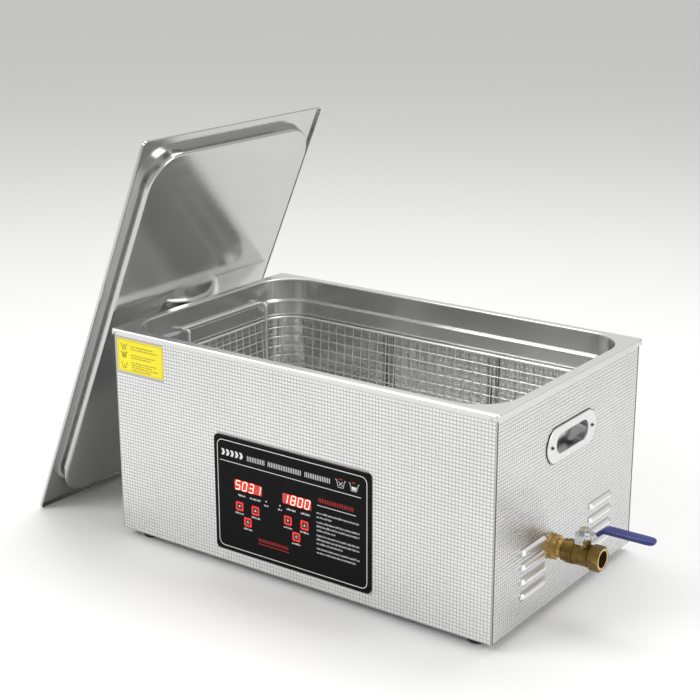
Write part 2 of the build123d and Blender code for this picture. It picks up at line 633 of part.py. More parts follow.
def basket_frames():
    """Pairs of stiffening wires that run down one side, under the floor and up the other."""
    y = RIM_Y + MESH_T / 2 + FRAME_D / 2
    low = BASKET_FLOOR - FRAME_D / 2
    made = []
    for x in FRAME_XS:
        points = [(x, -y, RIM_Z - 4), (x, -y, low), (x, y, low), (x, y, RIM_Z - 4)]
        made.append(wire(points, BASKET_BEND + FRAME_D / 2, FRAME_D))
    return group(made)


def basket_hangers():
    """The bar at each end that rests on the tank's ledge, with two legs down the mesh."""
    bar_x = BOWL_X + 2.9
    bar_z = LEDGE_Z + HANGER_D / 2 + 0.4
    leg_x = RIM_X - BASKET_WIRE / 2 - HANGER_D / 2 - 0.02
    made = []
    for side in (-1, 1):
        mid = -side * HANGER_SHIFT
        lo, hi = mid - HANGER_HALF, mid + HANGER_HALF
        bottom = BASKET_FLOOR + 16
        points = [(side * leg_x, lo, bottom), (side * leg_x, lo, bar_z), (side * bar_x, lo, bar_z),
                  (side * bar_x, hi, bar_z), (side * leg_x, hi, bar_z), (side * leg_x, hi, bottom)]
        made.append(wire(points, [3.2, 3.2, 3.2, 3.2], HANGER_D))
    return group(made)


# Lid

def dish_ball(radius, depth, floor_z):
    """The spherical cap of the lid's dish, down to floor_z, as a solid."""
    ball_r = (radius ** 2 + depth ** 2) / (2 * depth)
    ball = Pos(0, 0, floor_z + ball_r) * Sphere(ball_r)
    return ball & box(-70, 70, -70, 70, floor_z - 1, floor_z + depth + 0.01)


def lid_pan():
    """The pressed lid: turned-down lip, flat rim, sunken tray and round dish."""
    top = RIM_UNDER + LID_SHEET
    plate = rounded_block(LID_X, LID_Y, 5, top - LIP, top)
    plate = fillet(plate.faces().sort_by(Axis.Z)[-1].edges(), 1.4)
    plate -= rounded_block(LID_X - LID_SHEET, LID_Y - LID_SHEET, 4, top - LIP - 1, RIM_UNDER)
    under = RIM_UNDER - TRAY_DEPTH
    draft = math.radians(TRAY_DRAFT)
    narrowing = TRAY_DEPTH * math.tan(draft)
    tray = rounded_block(TRAY_X - narrowing, TRAY_Y - narrowing, TRAY_R - narrowing, under,
                         RIM_UNDER + 0.5, -TRAY_DRAFT)
    tray = fillet(tray.faces().sort_by(Axis.Z)[0].edges(), 3.2)
    tray += dish_ball(DISH_R, DISH_DEPTH, under - DISH_DEPTH)
    side = LID_SHEET / math.cos(draft)
    floor = under + LID_SHEET
    inset = side + (TRAY_DEPTH - LID_SHEET) * math.tan(draft)
    hollow = rounded_block(TRAY_X - inset, TRAY_Y - inset, TRAY_R - inset, floor, top + 2, -TRAY_DRAFT)
    hollow = fillet(hollow.faces().sort_by(Axis.Z)[0].edges(), 2.4)
    hollow += dish_ball(DISH_R - 0.6, DISH_DEPTH, floor - DISH_DEPTH)
    return plate + tray - hollow


def grip_ears():
    """Two ears welded to the tray, beside the dish, that hold the grip rod's ends."""
    floor = RIM_UNDER - TRAY_DEPTH + LID_SHEET
    made = []
    for side in (-1, 1):
        inner, outer = side * (ROD_HALF - 7), side * (ROD_HALF + 3)
        ear = box(-8, 8, min(inner, outer), max(inner, outer), floor, ROD_Z + 6.4)
        ear = fillet(ear.edges().filter_by(Axis.Y).group_by(Axis.Z)[-1], 5)
        made.append(ear - rod_y(0, -ROD_HALF - 0.3, ROD_HALF + 0.3, ROD_Z, ROD_R + FIT))
    return group(made)


def grip_rod():
    """The round rod across the dish that the lid is lifted by."""
    return rod_y(0, -ROD_HALF, ROD_HALF, ROD_Z, ROD_R)


def lean(shape):
    """Turns and moves a closed lid part to where the lid leans on the left end of the body."""
    lean_rad = math.radians(LEAN)
    foot_z = (LIP - LID_SHEET) * math.sin(lean_rad) + 0.05
    offset = RIM_UNDER - ROD_Z
    x = LID_FOOT_X + LID_X * math.sin(lean_rad) + offset * math.cos(lean_rad)
    z = foot_z + LID_X * math.cos(lean_rad) - offset * math.sin(lean_rad)
    return Pos(x, 0, z) * Rot(0, LEAN - 90, 0) * Pos(0, 0, -ROD_Z) * shape


# Electronics and fan

def generator_board():
    """The ultrasonic generator's circuit board on its posts, low in the casing."""
    board = box(-110, 70, -60, 50, BOARD_Z, BOARD_TOP)
    posts = [rod_z(x, y, BASE_TOP, BOARD_Z, 3) for x in (-104, 64) for y in (-54, 44)]
    return group([board] + posts)


def heat_sink():
    """The finned aluminium block beside the output transistors."""
    block = box(-100, -20, 20, 46, BOARD_TOP, 25)
    for i in range(9):
        x = -99 + 9.6 * i
        block += box(x - 0.8, x + 0.8, 20, 46, 24.9, 46)
    return block


def transformer():
    """The output transformer: a ferrite core with its winding."""
    core = box(-2, 42, -52, -20, BOARD_TOP, 51) - box(8, 32, -60, -10, 27, 45.5)
    core += box(15, 25, -52, -20, 26, 46.5)
    winding = box(9, 31, -56, -16, 27.5, 45) - box(14.9, 25.1, -60, -10, 25, 50)
    return group([core, winding])


def capacitors():
    """The round capacitors and the flat film capacitors on the generator board."""
    made = [rod_z(x, y, BOARD_TOP, 46, 8) for x in (-95, -73, -51) for y in (-45, -25)]
    made += [box(-28, -12, y, y + 22, BOARD_TOP, 38) for y in (-52, -22)]
    return group(made)


def fan_frame():
    """The square fan housing with its hub and four spokes."""
    half = FAN_SIZE / 2
    y0, y1 = IN_Y - FAN_T, IN_Y
    frame = box(FAN_X - half, FAN_X + half, y0, y1, FAN_Z - half, FAN_Z + half)
    frame -= rod_y(FAN_X, y0 - 1, y1 + 1, FAN_Z, FAN_BORE_R)
    hub = rod_y(FAN_X, y0, y0 + 4, FAN_Z, FAN_HUB_R)
    reach = FAN_BORE_R + 1
    spokes = box(FAN_X - reach, FAN_X + reach, y0, y0 + 3, FAN_Z - 1.5, FAN_Z + 1.5)
    spokes += box(FAN_X - 1.5, FAN_X + 1.5, y0, y0 + 3, FAN_Z - reach, FAN_Z + reach)
    frame += hub + spokes
    frame -= rod_y(FAN_X, y0 - 1, y0 + 5, FAN_Z, FAN_SHAFT_R + FIT)
    for dx in (-FAN_SCREW, FAN_SCREW):
        for dz in (-FAN_SCREW, FAN_SCREW):
            frame -= rod_y(FAN_X + dx, y0 - 1, y1 + 1, FAN_Z + dz, SCREW_HOLE_R)
    return frame


def fan_rotor():
    """The fan's hub, shaft and seven pitched blades."""
    y0 = IN_Y - FAN_T + 5
    rotor = rod_y(FAN_X, y0, y0 + 17, FAN_Z, FAN_HUB_R)
    rotor += rod_y(FAN_X, y0 - 4.5, y0 + 1, FAN_Z, FAN_SHAFT_R)
    for i in range(7):
        blade = Pos(0, 25.5, 0) * Rot(0, 38, 0) * Box(17, 23, 1.6)
        blade = Rot(90, 0, 0) * Rot(0, 0, 360 / 7 * i) * blade
        rotor += Pos(FAN_X, y0 + 8.5, FAN_Z) * blade
    return rotor


def inlet_socket():
    """The mains inlet: a moulded body with an open recess and three blades."""
    x, z = INLET_X, INLET_Z
    body = rounded_y(CASE_Y, CASE_Y + 3, x, z, 30, 70, 5)
    body += box(x - 13.8, x + 13.8, IN_Y - 24, CASE_Y + 0.1, z - 23.8, z + 23.8)
    body -= box(x - 11, x + 11, IN_Y - 15, CASE_Y + 4, z - 14, z + 14)
    for dz in (-30, 30):
        body -= rod_y(x, CASE_Y - 2, CASE_Y + 4, z + dz, 1.7)
    for dx, dz in ((0, 0), (-4, 8), (-4, -8)):
        body += box(x + dx - 2, x + dx + 2, IN_Y - 15.1, IN_Y - 2, z + dz - 1, z + dz + 1)
    return body


def rear_screws():
    """Six screws through the rear sheet: four hold the fan and two the mains inlet."""
    made = []
    for dx in (-FAN_SCREW, FAN_SCREW):
        for dz in (-FAN_SCREW, FAN_SCREW):
            head = rod_y(FAN_X + dx, CASE_Y, CASE_Y + 2.2, FAN_Z + dz, 3.8)
            made.append(head + rod_y(FAN_X + dx, IN_Y - FAN_T - 4, CASE_Y + 0.1, FAN_Z + dz, SCREW_R))
    for dz in (-30, 30):
        head = rod_y(INLET_X, CASE_Y + 3, CASE_Y + 4.8, INLET_Z + dz, 2.9)
        made.append(head + rod_y(INLET_X, IN_Y - 5, CASE_Y + 3.1, INLET_Z + dz, 1.5))
    return group(made)


def switch_frame():
    """The power switch's moulded frame, open for the rocker."""
    x, z = SWITCH_X, SWITCH_Z
    frame = rounded_y(CASE_Y, CASE_Y + 2, x, z, 31, 25, 2)
    frame += box(x - 13.3, x + 13.3, IN_Y - 16, CASE_Y + 0.1, z - 10.3, z + 10.3)
    frame -= box(x - 11.5, x + 11.5, IN_Y - 12, CASE_Y + 3, z - 8, z + 8)
    return frame - rod_y(x, IN_Y - 12, IN_Y, z, 1) + rod_z(x, IN_Y - 3, z - 8.1, z + 8.1, 1.5)


def switch_rocker():
    """The rocker, on a pin across its frame, tilted to off at rest."""
    x, y, z = SWITCH_X, IN_Y - 3, SWITCH_Z
    wedge = Plane(origin=(x, y, z - 7.5), x_dir=(1, 0, 0), z_dir=(0, 0, 1)) * make_face(Polyline(
        (-10.3, -4), (0, -6), (10.3, -4), (10.3, 4.6), (0, 3.6), (-10.3, 4.6), close=True))
    rocker = extrude(wedge, 15, dir=(0, 0, 1)) - rod_z(x, y, z - 9, z + 9, 1.55)
    return Pos(x, y, 0) * Rot(0, 0, 8) * Pos(-x, -y, 0) * rocker


def wiring():
    """The internal leads: from the mains inlet and switch to the generator board."""
    leads = []
    for i, z in enumerate((54.0, 62.0)):
        points = [(INLET_X, IN_Y - 24, z), (INLET_X, 112 - 6 * i, z), (INLET_X, 96 - 6 * i, 30),
                  (INLET_X + 40, 10 - 8 * i, 20.8), (-110, 10 - 8 * i, 20.8)]
        leads.append(wire(points, [8, 14, 14], 3.2))
    return group(leads)


# Every node

parts = {
    "front_sheet": front_sheet(),
    "rear_sheet": rear_sheet(),
    "left_sheet": mirror(right_sheet(), about=Plane.YZ),
    "right_sheet": right_sheet() - drain_hole(),
    "corner_angles": corner_angles(),
    "base_plate": base_plate(),
    "feet": feet(),
    "foot_screws": foot_screws(),
    "tank": tank(),
    "flange_gasket": flange_gasket(),
    "heater_pads": heater_pads(),
    "control_panel": control_panel(),
    "displays": displays(),
    "control_board": control_board(),
    "tact_switches": tact_switches(),
    "warning_label": warning_label(),
    "handle_plates": handle_plates(),
    "handle_cups": handle_cups(),
    "handle_screws": handle_screws(),
    "drain_fitting": drain_fitting(),
    "drain_seal": drain_seal(),
    "drain_nuts": drain_nuts(),
    "drain_elbow": drain_elbow(),
    "drain_pipe": drain_pipe(),
    "valve_body": valve_body(),
    "valve_seats": valve_seats(),
    "valve_ball": valve_ball(),
    "valve_stem": valve_stem(),
    "gland_nut": gland_nut(),
    "lever": lever(),
    "lever_grip": lever_grip(),
    "lever_nut": lever_nut(),
    "basket_mesh": basket_mesh(),
    "basket_rim": basket_rim(),
    "basket_frames": basket_frames(),
    "basket_hangers": basket_hangers(),
    "lid_pan": lean(lid_pan()),
    "grip_ears": group([lean(ear) for ear in grip_ears().solids()]),
    "grip_rod": lean(grip_rod()),
    "generator_board": generator_board(),
    "heat_sink": heat_sink(),
    "transformer": transformer(),
    "capacitors": capacitors(),
    "fan_frame": fan_frame(),
    "fan_rotor": fan_rotor(),
    "rear_screws": rear_screws(),
    "inlet_socket": inlet_socket(),
    "switch_frame": switch_frame(),
    "switch_rocker": switch_rocker(),
    "wiring": wiring(),
}
parts.update(transducers())
for name, (key_x, key_z) in KEYS.items():
    parts[name] = key(key_x, key_z)

os.makedirs("parts", exist_ok=True)
for name, shape in parts.items():
    export_step(shape, f"parts/{name}.step")
print(len(parts), "nodes")
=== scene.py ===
import math
import random

import bmesh
import bpy
from mathutils import Matrix, Quaternion, Vector


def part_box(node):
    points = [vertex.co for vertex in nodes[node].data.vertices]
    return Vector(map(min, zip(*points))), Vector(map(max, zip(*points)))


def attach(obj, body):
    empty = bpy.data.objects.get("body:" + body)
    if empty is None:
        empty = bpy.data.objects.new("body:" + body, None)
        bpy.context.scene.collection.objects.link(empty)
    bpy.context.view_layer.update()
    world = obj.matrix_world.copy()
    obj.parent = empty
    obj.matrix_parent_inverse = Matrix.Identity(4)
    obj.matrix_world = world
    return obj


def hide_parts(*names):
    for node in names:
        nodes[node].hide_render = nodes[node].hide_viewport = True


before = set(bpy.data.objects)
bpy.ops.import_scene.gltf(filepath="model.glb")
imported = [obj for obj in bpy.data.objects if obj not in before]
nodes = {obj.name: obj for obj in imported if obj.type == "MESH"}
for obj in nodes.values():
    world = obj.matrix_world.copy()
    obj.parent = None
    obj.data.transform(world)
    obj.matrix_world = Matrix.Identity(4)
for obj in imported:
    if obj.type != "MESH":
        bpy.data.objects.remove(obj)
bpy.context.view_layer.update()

mm = 0.001
scene = bpy.context.scene


# node groups and shader parts

def addNode(tree, kind, links=None, **values):
    # makes a node, sets its plain values, links its inputs
    node = tree.nodes.new(kind)
    for key, value in values.items():
        setattr(node, key, value)
    for socket, source in (links or {}).items():
        if isinstance(source, bpy.types.NodeSocket):
            tree.links.new(source, node.inputs[socket])
        else:
            node.inputs[socket].default_value = source
    return node


def take(tree, kind, socket, links=None, **values):
    # adds a node and gives one of its outputs
    return addNode(tree, kind, links, **values).outputs[socket]


def startMaterial(name, color, metallic, roughness, **shader):
    material = bpy.data.materials.new(name)
    material.use_nodes = True
    tree = material.node_tree
    surface = tree.nodes["Principled BSDF"]
    surface.inputs["Base Color"].default_value = (*color, 1.0)
    surface.inputs["Metallic"].default_value = metallic
    surface.inputs["Roughness"].default_value = roughness
    for key, value in shader.items():
        surface.inputs[key.replace("_", " ")].default_value = value
    return material, tree, surface


def objectPlace(tree, scale=(1.0, 1.0, 1.0)):
    place = take(tree, "ShaderNodeTexCoord", "Object")
    return take(tree, "ShaderNodeMapping", "Vector", {"Vector": place, "Scale": scale})


def objectAxis(tree, axis, coords="Object"):
    place = take(tree, "ShaderNodeTexCoord", coords)
    return take(tree, "ShaderNodeSeparateXYZ", axis, {"Vector": place})


def noiseAt(tree, place, scale, detail=3.0, roughness=0.55):
    return take(tree, "ShaderNodeTexNoise", "Fac",
                {"Vector": place, "Scale": scale, "Detail": detail, "Roughness": roughness})


def spread(tree, value, low, high, fromLow=0.3, fromHigh=0.7):
    return take(tree, "ShaderNodeMapRange", "Result", {
        "Value": value, "From Min": fromLow, "From Max": fromHigh, "To Min": low, "To Max": high})


def blendColors(tree, factor, first, second):
    mix = addNode(tree, "ShaderNodeMix", data_type="RGBA")
    for socket, source in ((0, factor), (6, first), (7, second)):
        if isinstance(source, bpy.types.NodeSocket):
            tree.links.new(source, mix.inputs[socket])
        else:
            mix.inputs[socket].default_value = source if socket == 0 else (*source, 1.0)
    return mix.outputs[2]


def addBump(tree, surface, height, distance, strength=1.0):
    bump = addNode(tree, "ShaderNodeBump", {"Height": height, "Distance": distance, "Strength": strength})
    tree.links.new(bump.outputs["Normal"], surface.inputs["Normal"])


def grainedMetal(name, look):
    # steel or brass: long grain in the roughness and the relief, slow stains in the colour
    material, tree, surface = startMaterial(name, look["color"], 1.0, look["roughness"][0])
    grain = noiseAt(tree, objectPlace(tree, look["grain"]), 1.0, 4.0, 0.6)
    stains = noiseAt(tree, objectPlace(tree), look.get("stainScale", 14.0))
    tree.links.new(spread(tree, grain, *look["roughness"]), surface.inputs["Roughness"])
    color = blendColors(tree, spread(tree, stains, 0.0, 1.0), look["color"], look["stain"])
    # the louvre hoods standing out past this distance get a lighter colour: a painted highlight on their lit
    # slopes
    if look.get("highlightFromX"):      # what stands out past this distance along X is brighter
        out = take(tree, "ShaderNodeMath", 0, {0: objectAxis(tree, "X")}, operation="ABSOLUTE")
        start = look["highlightFromX"] * mm
        proud = spread(tree, out, 0.0, 1.0, start, start + 0.3 * mm)
        color = blendColors(tree, proud, color, look["highlightColor"])
    tree.links.new(color, surface.inputs["Base Color"])
    if look.get("relief"):
        addBump(tree, surface, grain, look["relief"] * mm)
    return material


def moulded(name, look):
    # plastic or rubber: fine pebbling, slightly uneven gloss
    material, tree, surface = startMaterial(name, look["color"], 0.0, look["roughness"][0],
                                            **look.get("shader", {}))
    pebbles = noiseAt(tree, objectPlace(tree), look.get("pebbleScale", 900.0), 2.0)
    patches = noiseAt(tree, objectPlace(tree), look.get("patchScale", 25.0), 3.0)
    tree.links.new(spread(tree, patches, *look["roughness"]), surface.inputs["Roughness"])
    worn = look.get("worn", [min(1.0, c * 1.35 + 0.004) for c in look["color"]])
    tree.links.new(blendColors(tree, spread(tree, patches, 0.0, 1.0), look["color"], worn),
                   surface.inputs["Base Color"])
    addBump(tree, surface, pebbles, look.get("relief", 0.02) * mm)
    return material


def printed(name, color, glow=0.0):
    # screen-printed ink, a little uneven; one with a glow also shines: the display digits are lit, the glow on
    # the red key outlines is a painted highlight
    material, tree, surface = startMaterial(name, color, 0.0, 0.45)
    ink = noiseAt(tree, objectPlace(tree), 700.0, 2.0)
    thin = [c * 0.86 for c in color]
    uneven = blendColors(tree, spread(tree, ink, 0.0, 1.0), color, thin)
    tree.links.new(uneven, surface.inputs["Base Color"])
    if glow:
        surface.inputs["Emission Color"].default_value = (*color, 1.0)
        surface.inputs["Emission Strength"].default_value = glow
    return material


steels = {
    # casing: the lighter colour on the louvre hoods is a painted highlight
    "casing": {"color": (0.50, 0.50, 0.495), "stain": (0.46, 0.46, 0.455), "roughness": (0.34, 0.44),
               "grain": (30.0, 30.0, 900.0), "relief": 0.004, "highlightFromX": 262.2,
               "highlightColor": (0.90, 0.90, 0.895)},
    "emboss": {"color": (0.83, 0.83, 0.825), "stain": (0.79, 0.79, 0.785), "roughness": (0.23, 0.32),
               "grain": (30.0, 30.0, 700.0), "relief": 0.003},
    "lid": {"color": (0.58, 0.58, 0.575), "stain": (0.545, 0.545, 0.54), "roughness": (0.13, 0.19),
            "grain": (260.0, 6.0, 260.0), "relief": 0.0012, "stainScale": 5.0},
    "handle": {"color": (0.80, 0.80, 0.80), "stain": (0.76, 0.76, 0.765), "roughness": (0.26, 0.34),
               "grain": (500.0, 30.0, 500.0), "relief": 0.003},
    "cup": {"color": (0.68, 0.68, 0.68), "stain": (0.64, 0.64, 0.64), "roughness": (0.16, 0.24),
            "grain": (60.0, 60.0, 60.0)},
    # frame wires: darker than the basket wires, painted shade on the frames seen through the mesh
    "shadedFrameWire": {"color": (0.42, 0.42, 0.42), "stain": (0.36, 0.36, 0.36), "roughness": (0.22, 0.34),
                  "grain": (200.0, 200.0, 200.0)},
    "wire": {"color": (0.88, 0.88, 0.875), "stain": (0.78, 0.78, 0.775), "roughness": (0.30, 0.40),
             "grain": (200.0, 200.0, 200.0)},
    "lever": {"color": (0.72, 0.72, 0.72), "stain": (0.58, 0.58, 0.59), "roughness": (0.2, 0.36),
              "grain": (60.0, 700.0, 200.0), "relief": 0.006, "stainScale": 90.0},
    "screw": {"color": (0.74, 0.74, 0.75), "stain": (0.66, 0.66, 0.67), "roughness": (0.18, 0.3),
              "grain": (500.0, 500.0, 500.0)},
    "zinc": {"color": (0.58, 0.60, 0.62), "stain": (0.48, 0.50, 0.53), "roughness": (0.35, 0.5),
             "grain": (120.0, 120.0, 120.0), "relief": 0.01, "stainScale": 60.0},
    "mass": {"color": (0.5, 0.5, 0.5), "stain": (0.42, 0.42, 0.43), "roughness": (0.35, 0.5),
             "grain": (300.0, 300.0, 40.0), "relief": 0.01},
    "aluminium": {"color": (0.78, 0.78, 0.79), "stain": (0.7, 0.7, 0.72), "roughness": (0.3, 0.42),
                  "grain": (300.0, 300.0, 40.0), "relief": 0.008},
    # valve brass: a darker copy of the plumbing brass, its base colour carries painted shade over the valve
    "shadedValveBrass": {"color": (0.27, 0.175, 0.05), "stain": (0.15, 0.095, 0.028), "roughness": (0.26, 0.46),
                   "grain": (420.0, 90.0, 90.0), "relief": 0.035, "stainScale": 130.0},
    # bore brass: very dark, painted shade inside the outlet bore and on its thread
    "shadedBoreBrass": {"color": (0.10, 0.055, 0.02), "stain": (0.06, 0.035, 0.014), "roughness": (0.35, 0.5),
                  "grain": (300.0, 300.0, 300.0)},
    "cutBrass": {"color": (0.85, 0.66, 0.34), "stain": (0.72, 0.52, 0.24), "roughness": (0.14, 0.24),
                 "grain": (300.0, 300.0, 300.0), "stainScale": 160.0},
    "plumbingBrass": {"color": (0.62, 0.44, 0.17), "stain": (0.5, 0.34, 0.12), "roughness": (0.24, 0.4),
                      "grain": (300.0, 300.0, 300.0), "relief": 0.01, "stainScale": 90.0},
}
mouldings = {
    "footRubber": {"color": (0.016, 0.016, 0.017), "roughness": (0.6, 0.8), "relief": 0.05,
                   "pebbleScale": 600.0},
    "sealRubber": {"color": (0.03, 0.03, 0.03), "roughness": (0.55, 0.7)},
    "panelGloss": {"color": (0.0055, 0.0055, 0.006), "roughness": (0.09, 0.14), "relief": 0.0008,
                   "pebbleScale": 260.0, "worn": (0.007, 0.007, 0.0075),
                   "shader": {"Specular_IOR_Level": 0.06}},
    "keyRubber": {"color": (0.010, 0.010, 0.011), "roughness": (0.3, 0.4), "relief": 0.004},
    "sleeveVinyl": {"color": (0.008, 0.014, 0.13), "roughness": (0.26, 0.36), "relief": 0.02,
                    "pebbleScale": 420.0, "worn": (0.010, 0.020, 0.17), "shader": {"Coat_Weight": 0.12}},
    "switchPlastic": {"color": (0.015, 0.015, 0.016), "roughness": (0.35, 0.5)},
    "rockerPlastic": {"color": (0.42, 0.012, 0.010), "roughness": (0.2, 0.3)},
    "fanPlastic": {"color": (0.02, 0.02, 0.022), "roughness": (0.4, 0.55)},
    "heaterPad": {"color": (0.42, 0.08, 0.04), "roughness": (0.5, 0.65), "relief": 0.06,
                  "pebbleScale": 300.0},
    "pzt": {"color": (0.36, 0.33, 0.29), "roughness": (0.5, 0.65)},
    "board": {"color": (0.012, 0.11, 0.045), "roughness": (0.25, 0.4), "worn": (0.02, 0.16, 0.06),
              "patchScale": 160.0},
    "ferrite": {"color": (0.05, 0.05, 0.052), "roughness": (0.6, 0.75)},
    "capSleeve": {"color": (0.02, 0.03, 0.09), "roughness": (0.2, 0.3)},
    "leadSleeve": {"color": (0.05, 0.05, 0.05), "roughness": (0.3, 0.45)},
    "seatPlastic": {"color": (0.82, 0.82, 0.80), "roughness": (0.3, 0.4), "worn": (0.76, 0.76, 0.73)},
    "labelVinyl": {"color": (0.93, 0.80, 0.010), "roughness": (0.34, 0.42), "relief": 0.004,
                   "worn": (0.86, 0.73, 0.012), "patchScale": 40.0},
    "displayGlass": {"color": (0.035, 0.004, 0.004), "roughness": (0.12, 0.18), "relief": 0.001},
}
inks = {
    "white": {"color": (0.78, 0.78, 0.78)},
    "red": {"color": (0.62, 0.012, 0.010)},
    "labelInk": {"color": (0.09, 0.075, 0.03)},
    "labelLine": {"color": (0.55, 0.22, 0.02)},
    # seam: dark ink for the strips that stand for the shade in the corner gaps
    "seam": {"color": (0.02, 0.02, 0.02)},
    # keyRed: its glow is a painted highlight on the key outlines, which hold no lamp
    "keyRed": {"color": (0.85, 0.010, 0.008), "glow": 0.8},
    "litCore": {"color": (1.0, 0.50, 0.38), "glow": 2.4},
    "litEdge": {"color": (1.0, 0.02, 0.012), "glow": 1.3},
    "halo": {"color": (0.70, 0.008, 0.008), "glow": 0.4},
    "unlit": {"color": (0.20, 0.15, 0.145)},
    # recess: dark grey painted shade for the screw crosses
    "recess": {"color": (0.10, 0.10, 0.10)},
}
finishes = {name: grainedMetal(name, look) for name, look in steels.items()}
finishes.update({name: moulded(name, look) for name, look in mouldings.items()})
finishes.update({name: printed(name, **look) for name, look in inks.items()})


# the lighter rim colour is painted light, the darker bowl colour painted shade
tankLook = {"rim": (0.90, 0.90, 0.895), "bowl": (0.69, 0.69, 0.685), "rimRoughness": 0.30,
            "bowlRoughness": 0.20, "rimFrom": 262.0, "rimBlend": 1.5}


def tankSteel():
    # satin flange over a smooth drawn bowl; the flange's lighter colour is painted light on its upward face and
    # the bowl's darker colour is painted shade inside the tank
    material, tree, surface = startMaterial("tankSteel", tankLook["bowl"], 1.0, tankLook["bowlRoughness"])
    start = tankLook["rimFrom"] * mm
    onRim = spread(tree, objectAxis(tree, "Z"), 0.0, 1.0, start, start + tankLook["rimBlend"] * mm)
    patches = spread(tree, noiseAt(tree, objectPlace(tree), 9.0), 0.0, 1.0)
    bowl = blendColors(tree, patches, tankLook["bowl"], [c * 0.95 for c in tankLook["bowl"]])
    tree.links.new(blendColors(tree, onRim, bowl, tankLook["rim"]), surface.inputs["Base Color"])
    roughness = spread(tree, onRim, tankLook["bowlRoughness"], tankLook["rimRoughness"], 0.0, 1.0)
    tree.links.new(roughness, surface.inputs["Roughness"])
    return material


finishes["tank"] = tankSteel()
nodeFinish = {
    "casing": "front_sheet rear_sheet left_sheet right_sheet",
    "zinc": "corner_angles base_plate", "footRubber": "feet",
    "screw": "foot_screws handle_screws rear_screws transducer_bolts",
    "tank": "tank", "sealRubber": "flange_gasket drain_seal", "heaterPad": "heater_pads",
    "aluminium": "transducer_horns heat_sink", "pzt": "transducer_ceramics",
    "mass": "transducer_back_masses",
    "panelGloss": "control_panel", "displayGlass": "displays", "board": "control_board generator_board",
    "switchPlastic": "tact_switches inlet_socket switch_frame", "labelVinyl": "warning_label",
    "handle": "handle_plates", "cup": "handle_cups", "shadedFrameWire": "basket_frames",
    "plumbingBrass": "drain_fitting drain_nuts drain_elbow drain_pipe", "shadedValveBrass": "valve_body",
    "seatPlastic": "valve_seats", "wire": "valve_ball basket_rim basket_hangers basket_mesh",
    "lever": "lever gland_nut lever_nut", "cutBrass": "valve_stem", "sleeveVinyl": "lever_grip",
    "lid": "lid_pan grip_ears grip_rod", "ferrite": "transformer", "capSleeve": "capacitors",
    "fanPlastic": "fan_frame fan_rotor", "rockerPlastic": "switch_rocker", "leadSleeve": "wiring",
    "keyRubber": "key_heat key_start key_temp_down key_temp_up key_time_down key_time_up",
}


def dress(name, material):
    # gives a carried-over part its finish; its mesh stays as it is
    part = nodes[name]
    if not part.material_slots:
        part.data.materials.append(material)
    for slot in part.material_slots:
        slot.material = material


for finish, names in nodeFinish.items():
    for name in names.split():
        dress(name, finishes[finish])
print("finishes on", len(nodes), "parts")


# meshes

def keepPiece(name, mesh, materials=(), body="casing", smooth=False):
    piece = bpy.data.objects.new(name, mesh)
    scene.collection.objects.link(piece)
    for material in materials:
        mesh.materials.append(material)
    if smooth:
        mesh.shade_smooth()
    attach(piece, body)
    return piece


def meshFrom(shape, name):
    mesh = bpy.data.meshes.new(name)
    shape.to_mesh(mesh)
    shape.free()
    return mesh


def geometryTree(name, inputs):
    tree = bpy.data.node_groups.new(name, "GeometryNodeTree")
    tree.interface.new_socket("Geometry", in_out="INPUT", socket_type="NodeSocketGeometry")
    for label, kind in inputs:
        tree.interface.new_socket(label, in_out="INPUT", socket_type="NodeSocket" + kind)
    tree.interface.new_socket("Geometry", in_out="OUTPUT", socket_type="NodeSocketGeometry")
    return tree, tree.nodes.new("NodeGroupInput").outputs, tree.nodes.new("NodeGroupOutput").inputs


def growMesh(name, tree, values, base=None):
    # runs the tree on a base mesh and returns its result as a plain mesh
    source = bpy.data.objects.new(name + "Source", base or bpy.data.meshes.new(name + "Source"))
    scene.collection.objects.link(source)
    modifier = source.modifiers.new("shape", "NODES")
    modifier.node_group = tree
    for item in tree.interface.items_tree:
        if item.in_out == "INPUT" and item.name in values:
            modifier[item.identifier] = values[item.name]
    graph = bpy.context.evaluated_depsgraph_get()
    mesh = bpy.data.meshes.new_from_object(source.evaluated_get(graph))
    source.modifiers.remove(modifier)
    bpy.data.objects.remove(source)
    mesh.name = name
    return mesh


# embossed check on the casing: small raised pips on a square grid, none where something covers the sheet
emboss = {"pitch": 4.17, "pipWidth": 3.35, "pipTop": 2.05, "pipHeight": 0.16, "sunk": 0.04, "edge": 1.5}


def finishTree(tree, result, geometry, given):
    # every tree ends the same way: real meshes with a finish
    solid = take(tree, "GeometryNodeRealizeInstances", "Geometry", {"Geometry": geometry})
    solid = take(tree, "GeometryNodeSetMaterial", "Geometry", {"Geometry": solid, "Material": given["Finish"]})
    tree.links.new(solid, result["Geometry"])


def placed(tree, geometry, given):
    turn = take(tree, "FunctionNodeEulerToRotation", 0, {0: given["Turn"]})
    return take(tree, "GeometryNodeTransform", "Geometry",
                {"Geometry": geometry, "Translation": given["Place"], "Rotation": turn})


def coveredBy(tree, hole):
    # true at points inside a rounded rectangle: middle, half size, corner radius
    def vectors(operation, socket, first, second=None):
        links = {0: first} if second is None else {0: first, 1: second}
        return take(tree, "ShaderNodeVectorMath", socket, links, operation=operation)

    core = ((hole["halfU"] - hole["radius"]) * mm, (hole["halfV"] - hole["radius"]) * mm, 0.0)
    off = take(tree, "GeometryNodeInputPosition", "Position")
    off = vectors("SUBTRACT", 0, off, (hole["u"] * mm, hole["v"] * mm, 0.0))
    off = vectors("SUBTRACT", 0, vectors("ABSOLUTE", 0, off), core)
    reach = vectors("LENGTH", "Value", vectors("MAXIMUM", 0, off, (0.0, 0.0, 0.0)))
    limit = (hole["radius"] + emboss["edge"]) * mm
    return take(tree, "ShaderNodeMath", 0, {0: reach, 1: limit}, operation="LESS_THAN")


